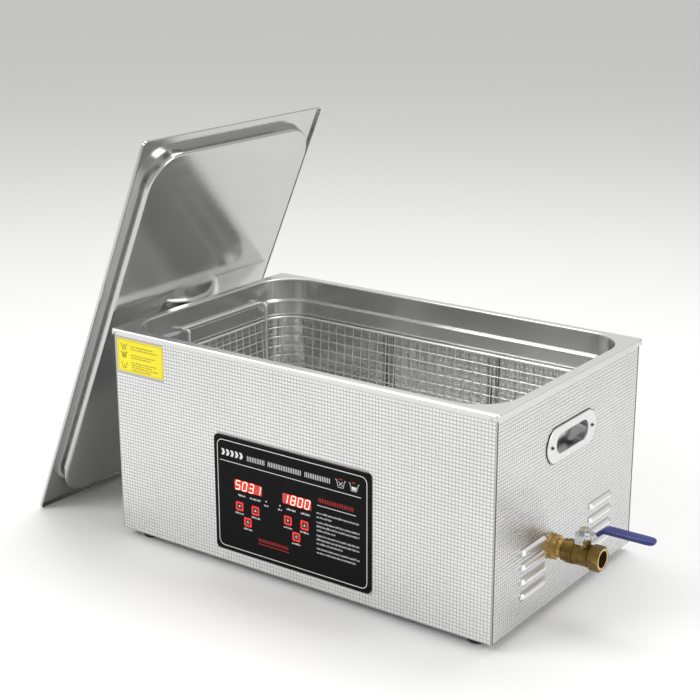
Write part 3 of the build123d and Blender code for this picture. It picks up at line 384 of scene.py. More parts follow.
def embossTree(name, holes):
    floats = ("Pitch", "Pip Width", "Pip Top", "Pip Height")
    inputs = [("Columns", "Int"), ("Rows", "Int"), *((label, "Float") for label in floats),
              ("Shift", "Vector"), ("Turn", "Vector"), ("Place", "Vector"), ("Finish", "Material")]
    tree, given, result = geometryTree(name, inputs)

    def maths(operation, first, second):
        return take(tree, "ShaderNodeMath", 0, {0: first, 1: second}, operation=operation)

    def span(count):
        return maths("MULTIPLY", maths("SUBTRACT", given[count], 1.0), given["Pitch"])

    grid = take(tree, "GeometryNodeMeshGrid", "Mesh", {
        "Size X": span("Columns"), "Size Y": span("Rows"),
        "Vertices X": given["Columns"], "Vertices Y": given["Rows"]})
    points = take(tree, "GeometryNodeTransform", "Geometry", {"Geometry": grid, "Translation": given["Shift"]})
    covered = None
    for hole in holes:
        inside = coveredBy(tree, hole)
        covered = inside if covered is None else maths("MAXIMUM", covered, inside)
    points = take(tree, "GeometryNodeDeleteGeometry", "Geometry", {"Geometry": points, "Selection": covered},
                  domain="POINT")
    toRadius = math.sqrt(0.5)
    pip = take(tree, "GeometryNodeMeshCone", "Mesh", {
        "Vertices": 4, "Radius Bottom": maths("MULTIPLY", given["Pip Width"], toRadius),
        "Radius Top": maths("MULTIPLY", given["Pip Top"], toRadius), "Depth": given["Pip Height"]})
    pip = take(tree, "GeometryNodeTransform", "Geometry",
               {"Geometry": pip, "Rotation": (0.0, 0.0, math.pi / 4)})
    pips = take(tree, "GeometryNodeInstanceOnPoints", "Instances", {"Points": points, "Instance": pip})
    solid = take(tree, "GeometryNodeRealizeInstances", "Geometry", {"Geometry": pips})
    finishTree(tree, result, placed(tree, solid, given), given)
    return tree


def holeOver(name, axis, sign=1.0, radius=1.0):
    # the part of a wall that a node covers
    low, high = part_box(name)
    return {"u": sign * (low[axis] + high[axis]) / 2 / mm, "v": (low.z + high.z) / 2 / mm,
            "halfU": (high[axis] - low[axis]) / 2 / mm, "halfV": (high.z - low.z) / 2 / mm, "radius": radius}


def disc(u, v, radius):
    return {"u": u, "v": v, "halfU": radius, "halfV": radius, "radius": radius - 0.01}


louvres = {"columns": (-76.0, 76.0), "heights": (40.0, 57.0, 74.0, 91.0), "rise": 2.5,
           "size": {"halfU": 27.0, "halfV": 3.2, "radius": 3.1}}
handle = {"u": 0.0, "v": 194.0, "halfU": 55.0, "halfV": 20.5, "radius": 20.4}
sideHoles = [{"u": u, "v": v + louvres["rise"], **louvres["size"]}
             for u in louvres["columns"] for v in louvres["heights"]] + [handle]
valveAxis = {"y": -34.0, "z": 77.0}
fan = {"u": -150.0, "v": 60.0, "radius": 38.0, "screws": 35.75, "screwRadius": 3.8}
rearHoles = [disc(fan["u"], fan["v"], fan["radius"]), holeOver("inlet_socket", 0, -1.0, 4.0),
             holeOver("switch_frame", 0, -1.0, 2.0)]
rearHoles += [disc(fan["u"] + a * fan["screws"], fan["v"] + b * fan["screws"], fan["screwRadius"])
              for a in (-1, 1) for b in (-1, 1)]
walls = {
    "front": {"node": "front_sheet", "axis": 0, "turn": 0.0, "face": 1, "end": 0,
              "holes": [holeOver("control_panel", 0, radius=6.0), holeOver("warning_label", 0)]},
    "right": {"node": "right_sheet", "axis": 1, "turn": 90.0, "face": 0, "end": 1,
              "holes": sideHoles + [disc(valveAxis["y"], valveAxis["z"], 14.2)]},
    "left": {"node": "left_sheet", "axis": 1, "turn": -90.0, "face": 0, "end": 0, "holes": sideHoles},
    "rear": {"node": "rear_sheet", "axis": 0, "turn": 180.0, "face": 1, "end": 1, "holes": rearHoles},
}
casingFace = {"x": 262.0, "y": 159.5}       # outer faces of the sheets
for side, wall in walls.items():
    low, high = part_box(wall["node"])
    length = (high[wall["axis"]] - low[wall["axis"]]) / mm
    tall = (high.z - low.z) / mm
    columns, rows = int(length / emboss["pitch"]), int(tall / emboss["pitch"])
    reach = (casingFace["y"] if wall["face"] else casingFace["x"]) * (1 if wall["end"] else -1)
    lift = emboss["pipHeight"] / 2 - emboss["sunk"]
    out = reach + math.copysign(lift, reach)
    place = (0.0, out * mm, 0.0) if wall["face"] else (out * mm, 0.0, 0.0)
    mesh = growMesh("embossing_" + side, embossTree("embossing" + side.title(), wall["holes"]), {
        "Columns": columns, "Rows": rows,
        "Pitch": emboss["pitch"] * mm, "Pip Width": emboss["pipWidth"] * mm,
        "Pip Top": emboss["pipTop"] * mm, "Pip Height": emboss["pipHeight"] * mm,
        "Shift": (0.0, (low.z + high.z) / 2, 0.0),
        "Turn": (math.radians(90.0), 0.0, math.radians(wall["turn"])),
        "Place": place, "Finish": finishes["emboss"]})
    keepPiece("embossing_" + side, mesh)
    print("embossing", side, len(mesh.polygons), "faces")


# dark strips in the four upright corners, between the front and rear sheets and the sides: painted shade in the
# corner gaps
seam = {"x": (261.2, 262.06), "y": (156.95, 158.45), "z": (10.0, 261.8)}


def addBlock(shape, x, y, z):
    size = Vector((x[1] - x[0], y[1] - y[0], z[1] - z[0]))
    middle = Vector((x[0] + x[1], y[0] + y[1], z[0] + z[1])) / 2
    place = Matrix.Translation(middle * mm) @ Matrix.Diagonal((*(size * mm), 1.0))
    bmesh.ops.create_cube(shape, size=1.0, matrix=place)


def addSeams():
    shape = bmesh.new()
    for sx in (-1, 1):
        for sy in (-1, 1):
            addBlock(shape, sorted(sx * x for x in seam["x"]), sorted(sy * y for y in seam["y"]), seam["z"])
    keepPiece("seam_lines", meshFrom(shape, "seam_lines"), [finishes["seam"]])


addSeams()


# wires: each runs along a chain of edges
def wireTree():
    inputs = [("Diameter", "Float"), ("Sides", "Int"), ("Finish", "Material")]
    tree, given, result = geometryTree("wireAlongEdges", inputs)
    radius = take(tree, "ShaderNodeMath", 0, {0: given["Diameter"], 1: 0.5}, operation="MULTIPLY")
    line = take(tree, "GeometryNodeMeshToCurve", "Curve", {"Mesh": given["Geometry"]})
    ring = take(tree, "GeometryNodeCurvePrimitiveCircle", "Curve",
                {"Resolution": given["Sides"], "Radius": radius})
    tube = take(tree, "GeometryNodeCurveToMesh", "Mesh",
                {"Curve": line, "Profile Curve": ring, "Fill Caps": True})
    tube = take(tree, "GeometryNodeSetShadeSmooth", "Geometry", {"Geometry": tube})
    finishTree(tree, result, tube, given)
    return tree


def chainMesh(name, chains):
    shape = bmesh.new()
    for points, closed in chains:
        verts = [shape.verts.new(Vector(p) * mm) for p in points]
        for a, b in zip(verts, verts[1:] + (verts[:1] if closed else [])):
            shape.edges.new((a, b))
    return meshFrom(shape, name)


def bentRun(points, radius, steps=5):
    # a chain of straight runs with round corners
    run = [Vector(points[0])]
    for before, corner, after in zip(points, points[1:], points[2:]):
        before, corner, after = Vector(before), Vector(corner), Vector(after)
        start = (before - corner).normalized()
        end = (after - corner).normalized()
        half = start.angle(end) / 2
        middle = corner + (start + end).normalized() * (radius / math.sin(half))
        first = corner + start * (radius / math.tan(half)) - middle
        last = corner + end * (radius / math.tan(half)) - middle
        run += [middle + first.slerp(last, i / steps) for i in range(steps + 1)]
    return run + [Vector(points[-1])]


basket = {"halfX": 243.5, "halfY": 140.0, "corner": 40.0, "rimZ": 216.0, "floorZ": 138.0,
          "pitch": 13.0, "wire": 1.5, "bend": 5.0, "cornerWires": 4}


def roundedRing(halfX, halfY, radius, z, steps=8):
    ring = []
    for cx, cy, start in ((1, 1, 0), (-1, 1, 90), (-1, -1, 180), (1, -1, 270)):
        for i in range(steps + 1):
            a = math.radians(start + 90 * i / steps)
            ring.append((cx * (halfX - radius) + radius * math.cos(a),
                         cy * (halfY - radius) + radius * math.sin(a), z))
    return ring


def basketChains():
    b = basket
    across = b["wire"] * 0.95          # one layer of wires lies on the other
    floor = b["floorZ"] + b["wire"] / 2
    chains = []

    def addWire(*points):
        chains.append((bentRun(points, b["bend"]), False))

    straightX, straightY = b["halfX"] - b["corner"], b["halfY"] - b["corner"]
    for i in range(int(straightX / b["pitch"]) * 2 + 1):
        x = (i - int(straightX / b["pitch"])) * b["pitch"]
        y = b["halfY"]
        addWire((x, -y, b["rimZ"]), (x, -y, floor), (x, y, floor), (x, y, b["rimZ"]))
    for i in range(int(straightY / b["pitch"]) * 2 + 1):
        y = (i - int(straightY / b["pitch"])) * b["pitch"]
        x = b["halfX"]
        addWire((-x, y, b["rimZ"]), (-x, y, floor + across), (x, y, floor + across), (x, y, b["rimZ"]))
    for sx in (-1, 1):
        for sy in (-1, 1):
            for i in range(b["cornerWires"]):
                a = math.radians(90 * (i + 1) / (b["cornerWires"] + 1))
                way = Vector((sx * math.cos(a), sy * math.sin(a), 0))
                middle = Vector((sx * straightX, sy * straightY, 0))
                top = middle + way * b["corner"]
                foot = middle + way * (b["corner"] - b["bend"] - 4)
                addWire((top.x, top.y, b["rimZ"]), (top.x, top.y, floor), (foot.x, foot.y, floor))
    inX, inY, inR = b["halfX"] - b["bend"], b["halfY"] - b["bend"], b["corner"] - b["bend"]
    x = (int(straightX / b["pitch"]) + 1) * b["pitch"]
    while x < inX:
        y = inY - inR + math.sqrt(max(inR ** 2 - (x - inX + inR) ** 2, 0.0))
        chains += [([(s * x, -y, floor), (s * x, y, floor)], False) for s in (-1, 1)]
        x += b["pitch"]
    y = (int(straightY / b["pitch"]) + 1) * b["pitch"]
    while y < inY:
        x = inX - inR + math.sqrt(max(inR ** 2 - (y - inY + inR) ** 2, 0.0))
        chains += [([(-x, s * y, floor + across), (x, s * y, floor + across)], False) for s in (-1, 1)]
        y += b["pitch"]
    z = b["rimZ"] - b["pitch"]
    while z > b["floorZ"] + b["bend"] - 1:
        chains.append((roundedRing(b["halfX"] - across, b["halfY"] - across, b["corner"] - across, z), True))
        z -= b["pitch"]
    chains.append((roundedRing(inX, inY, inR, floor + across), True))
    dip = b["bend"] * (1 - math.sqrt(0.5))
    bendRing = roundedRing(b["halfX"] - dip - 1, b["halfY"] - dip - 1, b["corner"] - dip - 1,
                           b["floorZ"] + dip + 2)
    chains.append((bendRing, True))
    return chains


wires = wireTree()
wireValues = {"Diameter": basket["wire"] * mm, "Sides": 8, "Finish": finishes["wire"]}
mesh = growMesh("basket_wires", wires, wireValues, chainMesh("basketLines", basketChains()))
basketWires = keepPiece("basket_wires", mesh, body="basket")
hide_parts("basket_mesh")
print("basket wires", len(mesh.polygons), "faces")


# flat print: thin raised shapes on a face that looks towards -Y, in millimetres
def addPrism(shape, outline, y, thick, index=0):
    # outline: (x, z) points; y: the face it lies on; thick: how far it stands out towards -Y
    back = [shape.verts.new(Vector((x, y + 0.02, z)) * mm) for x, z in outline]
    front = [shape.verts.new(Vector((x, y - thick, z)) * mm) for x, z in outline]
    faces = [shape.faces.new(front), shape.faces.new(back[::-1])]
    for i in range(len(outline)):
        j = (i + 1) % len(outline)
        faces.append(shape.faces.new((back[i], back[j], front[j], front[i])))
    for face in faces:
        face.material_index = index
    return faces


def roundedOutline(cx, cz, halfX, halfZ, radius, steps=4):
    points = []
    for sx, sz, start in ((1, 1, 0), (-1, 1, 90), (-1, -1, 180), (1, -1, 270)):
        for i in range(steps + 1):
            a = math.radians(start + 90 * i / steps)
            points.append((cx + sx * (halfX - radius) + radius * math.cos(a),
                           cz + sz * (halfZ - radius) + radius * math.sin(a)))
    return points


def addBand(shape, outlines, depths, place, index=0):
    # a closed band between an outer and an inner outline, from one depth to the other
    (outBack, outFront), (inBack, inFront) = [
        [[shape.verts.new(place(u, v, depth) * mm) for u, v in outline] for depth in depths]
        for outline in outlines]
    for i in range(len(outBack)):
        j = (i + 1) % len(outBack)
        for quad in ((outFront[i], outFront[j], inFront[j], inFront[i]),
                     (outBack[j], outBack[i], inBack[i], inBack[j]),
                     (outBack[i], outBack[j], outFront[j], outFront[i]),
                     (inFront[i], inFront[j], inBack[j], inBack[i])):
            shape.faces.new(quad).material_index = index


def addFrame(shape, cx, cz, halfX, halfZ, radius, line, y, thick, index=0):
    # a rounded rectangular outline of a given line width
    outer = roundedOutline(cx, cz, halfX, halfZ, radius, 6)
    inner = roundedOutline(cx, cz, halfX - line, halfZ - line, max(radius - line, 0.2), 6)
    depths = (y + 0.02, y - thick)
    addBand(shape, (outer, inner), depths, lambda x, z, depth: Vector((x, depth, z)), index)


def addStroke(shape, points, line, y, thick):
    for (x0, z0), (x1, z1) in zip(points, points[1:]):
        along = Vector((x1 - x0, z1 - z0)).normalized() * line / 2
        side = Vector((-along.y, along.x))
        corners = [(x0 - along.x - side.x, z0 - along.y - side.y),
                   (x1 + along.x - side.x, z1 + along.y - side.y),
                   (x1 + along.x + side.x, z1 + along.y + side.y),
                   (x0 - along.x + side.x, z0 - along.y + side.y)]
        addPrism(shape, corners, y, thick)


def addBars(shape, x0, x1, z, height, line, y, thick, seed, word=(3, 8), gap=0.7):
    # a row of short upright bars in groups, which stands for a line of print
    chance = random.Random(seed)
    x = x0
    while x < x1 - line:
        for i in range(chance.randint(*word)):
            if x > x1 - line:
                break
            tall = height * chance.choice((0.72, 0.72, 1.0))
            wide = line * chance.uniform(0.8, 1.5)
            addPrism(shape, [(x, z), (x + wide, z), (x + wide, z + tall), (x, z + tall)], y, thick)
            x += wide + gap * line
        x += line * 2.2


def addTicks(shape, x0, x1, z, height, line, gap, y, thick):
    # evenly tall, evenly spaced bars, which stand for a heading
    while x0 < x1 - line:
        addPrism(shape, [(x0, z), (x0 + line, z), (x0 + line, z + height), (x0, z + height)], y, thick)
        x0 += line + gap


def finishPrint(name, shape, materials, body="casing"):
    bmesh.ops.recalc_face_normals(shape, faces=shape.faces)
    return keepPiece(name, meshFrom(shape, name), materials, body)


def addTub(shape, x, z, width, height, line, y, thick):
    # a little open tank, side view
    half = width / 2
    outline = [(x - half - 1.4, z + height), (x - half, z + height), (x - half * 0.62, z),
               (x + half * 0.62, z), (x + half, z + height), (x + half + 1.4, z + height)]
    addStroke(shape, outline, line, y, thick)


panelLow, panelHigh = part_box("control_panel")
panel = {"x": 0.0, "z": (panelLow.z + panelHigh.z) / 2 / mm, "face": panelLow.y / mm, "thick": 0.06,
         "borderInset": 4.6, "borderLine": 0.85, "headerZ": 136.0, "headerX": (-101.0, 97.0),
         "headings": ((-61.0, -35.5), (-31.0, 16.5), (21.0, 57.5)),
         "captions": ((-75.0, -64.5), (-58.0, -42.5), (-37.5, -31.5), (-17.5, -11.5), (-5.0, 8.0), (15.0, 28.0)),
         "notesX": (37.0, 58.0), "notes": ((2, 0.35), (3, 0.45), (3, 0.62), (2, 0.92))}


def panelPrint():
    # frame line, header rule, heading bars, pictograms, captions and note lines
    y, t = panel["face"], panel["thick"]
    shape = bmesh.new()
    halfX = (panelHigh.x - panelLow.x) / 2 / mm - panel["borderInset"]
    halfZ = (panelHigh.z - panelLow.z) / 2 / mm - panel["borderInset"]
    addFrame(shape, panel["x"], panel["z"], halfX, halfZ, 8.0, panel["borderLine"], y, t)
    addStroke(shape, [(x, panel["headerZ"]) for x in panel["headerX"]], 0.75, y, t)
    for i in range(5):       # bold chevrons at the start of the heading
        x = -99.0 + 6.6 * i
        outline = [(x, 142.6), (x + 3.6, 142.6), (x + 5.6, 146.4), (x + 3.6, 150.2), (x, 150.2),
                   (x + 2.0, 146.4)]
        addPrism(shape, outline, y, t)
    for x0, x1 in panel["headings"]:
        addTicks(shape, x0, x1, 142.6, 6.0, 0.9, 1.5, y, t)
    for x in (70.0, 88.0):
        addTub(shape, x, 141.5, 11.0, 8.6, 0.6, y, t)
    addStroke(shape, [(67.4, 143.4), (72.6, 148.2)], 0.6, y, t)
    addStroke(shape, [(67.4, 148.2), (72.6, 143.4)], 0.6, y, t)
    addPrism(shape, [(85.4, 142.6), (90.6, 142.6), (91.4, 146.6), (84.6, 146.6)], y, t)
    for i, (x0, x1) in enumerate(panel["captions"]):
        z = 97.0 if abs(x0 + 27.5) > 12 else 93.5
        addBars(shape, x0, x1, z, 2.4, 0.42, y, t, 20 + i)
    for x in (-34.5, -14.5):
        addPrism(shape, roundedOutline(x, 99.5, 0.9, 0.9, 0.85), y, t)
    for i, key in enumerate(("temp_down", "temp_up", "heat", "time_down", "time_up", "start")):
        low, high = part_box("key_" + key)
        x, z = (low.x + high.x) / 2 / mm, low.z / mm
        addBars(shape, x - 6.2, x + 6.2, z - 4.4, 2.3, 0.42, y, t, 40 + i)
    addStroke(shape, [(38.0, 113.3), (90.0, 113.3)], 0.7, y, t)
    z = 106.0
    start, width = panel["notesX"]
    for i, (rows, last) in enumerate(panel["notes"]):
        for row in range(rows):
            end = start + width * (last if row == rows - 1 else 1.0)
            addBars(shape, start, end, z - 3.0, 2.3, 0.36, y, t, 60 + 7 * i + row, word=(2, 8), gap=1.3)
            z -= 4.9
        z -= 1.2
    finishPrint("panel_print_white", shape, [finishes["white"]])
    shape = bmesh.new()
    addTicks(shape, 40.0, 88.5, 117.2, 5.0, 0.7, 1.6, y, t)
    addTicks(shape, -46.0, -3.0, 47.6, 4.2, 0.7, 1.6, y, t)
    addStroke(shape, [(-46.5, 45.0), (-2.5, 45.0)], 0.6, y, t)
    for x in (70.0, 88.0):
        addBars(shape, x - 3.0, x + 3.0, 150.4, 1.8, 0.4, y, t, int(x))
    finishPrint("panel_print_red", shape, [finishes["red"]])


panelPrint()


# lit digits on the display blocks
digits = {"height": 10.4, "width": 5.9, "line": 0.95, "edge": 2.4, "slant": 0.10, "pitch": 9.9,
          "inset": 20.9, "halo": (6.1, 2.2), "segmentShare": 0.86, "show": ("5031", "1800")}
segmentsOf = {"0": "abcdef", "1": "bc", "3": "abgcd", "5": "afgcd", "8": "abcdefg"}


def segmentLine(letter, x, z):
    # end points of one of the seven segments of a digit whose middle is (x, z)
    w, h = digits["width"] / 2, digits["height"] / 2
    ends = {"a": ((-w, h), (w, h)), "b": ((w, h), (w, 0)), "c": ((w, 0), (w, -h)), "d": ((w, -h), (-w, -h)),
            "e": ((-w, -h), (-w, 0)), "f": ((-w, 0), (-w, h)), "g": ((-w, 0), (w, 0))}[letter]
    points = []
    for u, v in ends:
        middleU, middleV = (ends[0][0] + ends[1][0]) / 2, (ends[0][1] + ends[1][1]) / 2
        u = middleU + (u - middleU) * digits["segmentShare"]
        v = middleV + (v - middleV) * digits["segmentShare"]
        points.append((x + u + v * digits["slant"] * 2, z + v))
    return points


def addSegment(shape, ends, line, y, thick, index):
    # a bar with pointed ends
    (x0, z0), (x1, z1) = ends
    along = Vector((x1 - x0, z1 - z0)).normalized()
    side = Vector((-along.y, along.x)) * line / 2
    tip = along * line / 2
    outline = [(x0 - tip.x * 0.6, z0 - tip.y * 0.6),
               (x0 + tip.x * 0.4 - side.x, z0 + tip.y * 0.4 - side.y),
               (x1 - tip.x * 0.4 - side.x, z1 - tip.y * 0.4 - side.y),
               (x1 + tip.x * 0.6, z1 + tip.y * 0.6),
               (x1 - tip.x * 0.4 + side.x, z1 - tip.y * 0.4 + side.y),
               (x0 + tip.x * 0.4 + side.x, z0 + tip.y * 0.4 + side.y)]
    addPrism(shape, outline, y, thick, index)


def litDisplays():
    low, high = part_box("displays")
    face = low.y / mm
    middleZ = (low.z + high.z) / 2 / mm
    centres = (low.x / mm + digits["inset"], high.x / mm - digits["inset"])
    shape = bmesh.new()
    for centre, text in zip(centres, digits["show"]):
        halo = roundedOutline(centre, middleZ, digits["pitch"] * 2, *digits["halo"])
        addPrism(shape, halo, face, 0.015, 3)
        for i, letter in enumerate(text):
            x = centre + (i - 1.5) * digits["pitch"]
            lit = segmentsOf[letter]
            for segment in "abcdefg":
                ends = segmentLine(segment, x - (1.0 if letter == "1" and i == 0 else 0.0), middleZ)
                if segment in lit:
                    addSegment(shape, ends, digits["edge"], face, 0.05, 1)
                    addSegment(shape, ends, digits["line"], face - 0.05, 0.06, 0)
                else:
                    addSegment(shape, ends, digits["line"] * 0.8, face, 0.04, 2)
    inksUsed = [finishes[name] for name in ("litCore", "litEdge", "unlit", "halo")]
    finishPrint("display_digits", shape, inksUsed)


litDisplays()


# keys: a red outline with a small mark, on each key's own body
keyMarks = {"inset": 0.1, "line": 1.7, "thick": 0.06, "corner": 1.7}
marks = {"temp_down": "down", "temp_up": "up", "heat": "round", "time_down": "down", "time_up": "up",
         "start": "round"}


def keyPrint(name, mark):
    low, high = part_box("key_" + name)
    x, z, y = (low.x + high.x) / 2 / mm, (low.z + high.z) / 2 / mm, low.y / mm
    half = (high.x - low.x) / 2 / mm - keyMarks["inset"]
    shape = bmesh.new()
    t = keyMarks["thick"]
    addFrame(shape, x, z, half, half, keyMarks["corner"], keyMarks["line"], y, t)
    if mark == "up":
        addPrism(shape, [(x - 1.5, z - 1.1), (x + 1.5, z - 1.1), (x, z + 1.5)], y, t, 1)
    elif mark == "down":
        addPrism(shape, [(x - 1.5, z + 1.1), (x, z - 1.5), (x + 1.5, z + 1.1)], y, t, 1)
    else:
        addFrame(shape, x, z - 0.2, 1.4, 1.4, 1.35, 0.5, y, t, 1)
        addPrism(shape, [(x - 0.3, z), (x + 0.3, z), (x + 0.3, z + 2.0), (x - 0.3, z + 2.0)], y, t + 0.02, 1)
    finishPrint("key_marks_" + name, shape, [finishes["keyRed"], finishes["white"]], f"key_{name}_cap")


for name, mark in marks.items():
    keyPrint(name, mark)


# the yellow label: three pictograms with lines of print beside them
label = {"thick": 0.05, "pictograms": (12.6, 22.6, 35.6), "printX": 22.0,
         "rows": ((7.6, 36), (10.8, 42), (18.0, 38), (21.2, 31), (27.0, 39), (30.0, 33), (33.0, 42), (36.0, 30))}


def labelPrint():
    low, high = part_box("warning_label")
    x0, top, y = low.x / mm, high.z / mm, low.y / mm
    t = label["thick"]
    shape = bmesh.new()
    for i, drop in enumerate(label["pictograms"]):
        z = top - drop
        addTub(shape, x0 + 10.5, z, 7.6, 6.6, 0.75, y, t)
        if i == 0:
            addStroke(shape, [(x0 + 8.9, z + 1.6), (x0 + 12.1, z + 5.4)], 0.6, y, t)
            addStroke(shape, [(x0 + 8.9, z + 5.4), (x0 + 12.1, z + 1.6)], 0.6, y, t)
        if i == 1:
            for dx in (-1.6, 0.0, 1.6):
                addStroke(shape, [(x0 + 10.5 + dx, z + 1.2), (x0 + 10.5 + dx, z + 6.0)], 0.85, y, t)
        if i == 2:
            addStroke(shape, [(x0 + 10.5, z + 1.2), (x0 + 10.5, z + 4.4)], 0.7, y, t)
    start = x0 + label["printX"]
    for row, (z, wide) in enumerate(label["rows"]):
        addBars(shape, start, start + wide, top - z - 1.0, 1.55, 0.36, y, t, 90 + row, word=(2, 8))
    wide, tall = (high.x - low.x) / 2 / mm, (high.z - low.z) / 2 / mm
    addFrame(shape, x0 + wide, top - tall, wide - 1.5, tall - 1.5, 1.2, 0.45, y, t, 1)
    finishPrint("label_print", shape, [finishes["labelInk"], finishes["labelLine"]])


labelPrint()
print("panel, keys and label printed")


# turned and lofted pieces of the valve
def turnedX(profile, sides=64):
    # a closed profile of (x, radius) points turned about the axis of the valve
    shape = bmesh.new()
    y, z = valveAxis["y"], valveAxis["z"]
    rings = []
    for x, radius in profile:
        ring = []
        for i in range(sides):
            a = 2 * math.pi * i / sides
            ring.append(shape.verts.new(Vector((x, y + radius * math.cos(a), z + radius * math.sin(a))) * mm))
        rings.append(ring)
    for first, second in zip(rings, rings[1:] + rings[:1]):
        for i in range(sides):
            j = (i + 1) % sides
            shape.faces.new((first[i], first[j], second[j], second[i]))
    bmesh.ops.recalc_face_normals(shape, faces=shape.faces)
    return shape


valve = {"face": 323.0, "boreR": 9.3, "threadStart": 312.4, "threadPitch": 1.81,
         "threadDepth": 0.7, "turns": 5.6}


def threadTree():
    floats = [(label, "Float") for label in ("Turns", "Radius", "Height", "Ridge")]
    inputs = [*floats, ("Turn", "Vector"), ("Place", "Vector"), ("Finish", "Material")]
    tree, given, result = geometryTree("innerThread", inputs)
    spiral = take(tree, "GeometryNodeCurveSpiral", "Curve", {
        "Resolution": 32, "Rotations": given["Turns"], "Height": given["Height"],
        "Start Radius": given["Radius"], "End Radius": given["Radius"]})
    ridge = take(tree, "GeometryNodeCurvePrimitiveCircle", "Curve", {"Resolution": 4, "Radius": given["Ridge"]})
    coil = take(tree, "GeometryNodeCurveToMesh", "Mesh",
                {"Curve": spiral, "Profile Curve": ridge, "Fill Caps": True})
    finishTree(tree, result, placed(tree, coil, given), given)
    return tree


def outletPieces():
    # thread and bore lining, dark with painted shade, and bright ring of the outlet
    start, face, bore = valve["threadStart"], valve["face"], valve["boreR"]
    mesh = growMesh("outlet_thread", threadTree(), {
        "Turns": valve["turns"], "Radius": (bore - 0.1) * mm,
        "Height": valve["turns"] * valve["threadPitch"] * mm, "Ridge": valve["threadDepth"] * mm,
        "Turn": (0.0, math.radians(90.0), 0.0),
        "Place": (start * mm, valveAxis["y"] * mm, valveAxis["z"] * mm), "Finish": finishes["shadedBoreBrass"]})
    keepPiece("outlet_thread", mesh)
    lip = face - 0.9
    liner = turnedX([(start, bore + 0.02), (lip, bore + 0.02), (lip, bore - 0.12), (start, bore - 0.12)])
    keepPiece("outlet_bore", meshFrom(liner, "outlet_bore"), [finishes["shadedBoreBrass"]])
    ring = turnedX([(lip, bore + 0.05), (face + 0.02, bore + 0.7), (face + 0.12, bore + 1.0),
                    (face + 0.12, bore + 2.2), (face - 0.3, bore + 2.9), (lip, bore + 2.2)])
    keepPiece("outlet_ring", meshFrom(ring, "outlet_ring"), [finishes["cutBrass"]])


outletPieces()

sleeve = {"half": 8.0, "thick": 2.5, "corner": 1.9,
          "line": ((317.2, 105.8, 0.80), (317.9, 106.4, 0.84), (320.5, 108.6, 0.92), (323.2, 110.9, 0.98),
                   (325.6, 112.0, 1.0), (330.0, 112.1, 1.0), (345.0, 112.1, 1.0), (360.0, 112.1, 1.0),
                   (372.0, 112.1, 1.0), (377.4, 112.1, 0.93), (380.2, 112.1, 0.76), (381.5, 112.1, 0.52),
                   (381.95, 112.1, 0.28))}


def leverSleeve():
    # a dipped vinyl sleeve: rounded sections along the cranked lever
    shape = bmesh.new()
    rings = []
    line = sleeve["line"]
    for i, (x, z, share) in enumerate(line):
        before, after = line[max(i - 1, 0)], line[min(i + 1, len(line) - 1)]
        along = Vector((after[0] - before[0], 0, after[1] - before[1])).normalized()
        up = Vector((-along.z, 0, along.x))
        thin = sleeve["thick"] * (1.0 if i < len(line) - 4 else (1.0, 0.96, 0.86, 0.6)[i - len(line) + 4])
        half = sleeve["half"] * share
        outline = roundedOutline(0, 0, half, thin, min(sleeve["corner"], thin * 0.95, half * 0.95), 4)
        rings.append([shape.verts.new((Vector((x, valveAxis["y"] + u, z)) + up * v) * mm)
                      for u, v in outline])
    count = len(rings[0])
    for first, second in zip(rings, rings[1:]):
        for i in range(count):
            j = (i + 1) % count
            shape.faces.new((first[i], first[j], second[j], second[i]))
    shape.faces.new(rings[0])
    shape.faces.new(rings[-1][::-1])
    bmesh.ops.recalc_face_normals(shape, faces=shape.faces)
    piece = keepPiece("lever_sleeve", meshFrom(shape, "lever_sleeve"), [finishes["sleeveVinyl"]],
                      "valve_lever", True)
    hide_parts("lever_grip")


leverSleeve()


# a black ring under each handle plate, showing round its edge: painted shade of the gap under the raised plate
plateShadeRing = {"x": (261.95, 263.0), "show": 0.45, "width": 2.0}


def addPlateShadeRings():
    shape = bmesh.new()
    halfU, halfV = handle["halfU"] + plateShadeRing["show"], handle["halfV"] + plateShadeRing["show"]
    outlines = [roundedOutline(0.0, handle["v"], halfU - inset, halfV - inset, halfV - inset - 0.01, 12)
                for inset in (0.0, plateShadeRing["width"])]
    for side in (-1, 1):
        addBand(shape, outlines, plateShadeRing["x"], lambda u, v, x: Vector((side * x, u, v)))
    finishPrint("handle_shade_rings", shape, [finishes["sealRubber"]])


addPlateShadeRings()


# cross recesses in the handle screws: dark crosses on the heads, painted shade in the recesses
recess = {"screws": ((263.8, -45.0), (263.8, 45.0), (-263.8, -45.0), (-263.8, 45.0)),
          "proud": 1.62, "arm": 1.3, "line": 0.42}


def crossRecesses():
    shape = bmesh.new()
    for x, y in recess["screws"]:
        side = math.copysign(1.0, x)
        for turn in (35.0, 125.0):
            place = Matrix.Translation(Vector((x + side * recess["proud"], y, handle["v"])) * mm)
            size = Matrix.Diagonal((0.9 * mm, recess["arm"] * 2 * mm, recess["line"] * mm, 1.0))
            turned = place @ Matrix.Rotation(math.radians(turn), 4, "X")
            bmesh.ops.create_cube(shape, size=1.0, matrix=turned @ size)
    keepPiece("screw_recesses", meshFrom(shape, "screw_recesses"), [finishes["recess"]])


crossRecesses()
print("valve and screws detailed")


# studio: floor, lights, camera
studio = {"floor": (0.81, 0.81, 0.805), "skyTop": (0.95, 0.95, 0.945), "skyLow": (0.79, 0.79, 0.785),
          "sky": 0.72, "reach": 40.0}


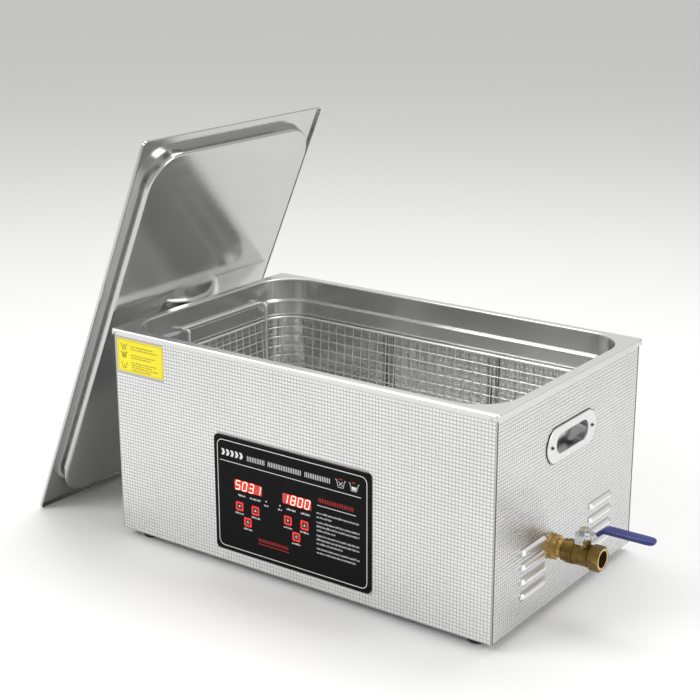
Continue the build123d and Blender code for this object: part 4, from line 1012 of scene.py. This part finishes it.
def buildStudio():
    mesh = bpy.data.meshes.new("floor")
    r = studio["reach"]
    mesh.from_pydata([(-r, -r, 0), (r, -r, 0), (r, r, 0), (-r, r, 0)], [], [(0, 1, 2, 3)])
    floor = bpy.data.objects.new("floor", mesh)
    scene.collection.objects.link(floor)
    material, tree, surface = startMaterial("floorPaint", studio["floor"], 0.0, 0.6)
    floor.data.materials.append(material)
    world = bpy.data.worlds.new("studio")
    scene.world = world
    world.use_nodes = True
    tree = world.node_tree
    height = objectAxis(tree, "Z", "Generated")
    color = blendColors(tree, spread(tree, height, 0.0, 1.0, 0.0, 0.8), studio["skyLow"], studio["skyTop"])
    tree.links.new(color, tree.nodes["Background"].inputs["Color"])
    tree.nodes["Background"].inputs["Strength"].default_value = studio["sky"]


lamps = {
    "keyLamp": {"place": (-1.3, -1.9, 1.9), "aim": (0.0, 0.0, 0.15), "size": (1.5, 1.1), "power": 34.0},
    "sideLamp": {"place": (2.3, 0.2, 1.3), "aim": (0.2, 0.0, 0.1), "size": (1.2, 1.2), "power": 20.0},
    "topLamp": {"place": (-0.2, 0.7, 2.3), "aim": (0.0, 0.0, 0.2), "size": (1.8, 1.0), "power": 26.0},
}


def addLamps():
    for name, lamp in lamps.items():
        light = bpy.data.lights.new(name, "AREA")
        light.shape = "RECTANGLE"
        light.size, light.size_y = lamp["size"]
        light.energy = lamp["power"]
        piece = bpy.data.objects.new(name, light)
        scene.collection.objects.link(piece)
        piece.location = lamp["place"]
        piece.rotation_mode = "QUATERNION"
        piece.rotation_quaternion = (Vector(lamp["aim"]) - Vector(lamp["place"])).to_track_quat("-Z", "Y")


view = {"place": (983.6, -1401.5, 776.2), "azimuth": 35.98, "elevation": 17.26, "roll": -0.15, "lens": 78.86}


def addCamera():
    azimuth, elevation = math.radians(view["azimuth"]), math.radians(view["elevation"])
    level = math.cos(elevation)
    back = Vector((math.sin(azimuth) * level, -math.cos(azimuth) * level, math.sin(elevation)))
    camera = bpy.data.objects.new("camera", bpy.data.cameras.new("camera"))
    scene.collection.objects.link(camera)
    camera.data.lens = view["lens"]
    camera.data.sensor_width = 36.0
    camera.data.clip_end = 100.0
    camera.location = Vector(view["place"]) * mm
    camera.rotation_mode = "QUATERNION"
    camera.rotation_quaternion = Quaternion(back, math.radians(view["roll"])) @ (-back).to_track_quat("-Z", "Y")
    scene.camera = camera


buildStudio()
addLamps()
addCamera()
scene.view_settings.view_transform = "Standard"
print("studio ready")
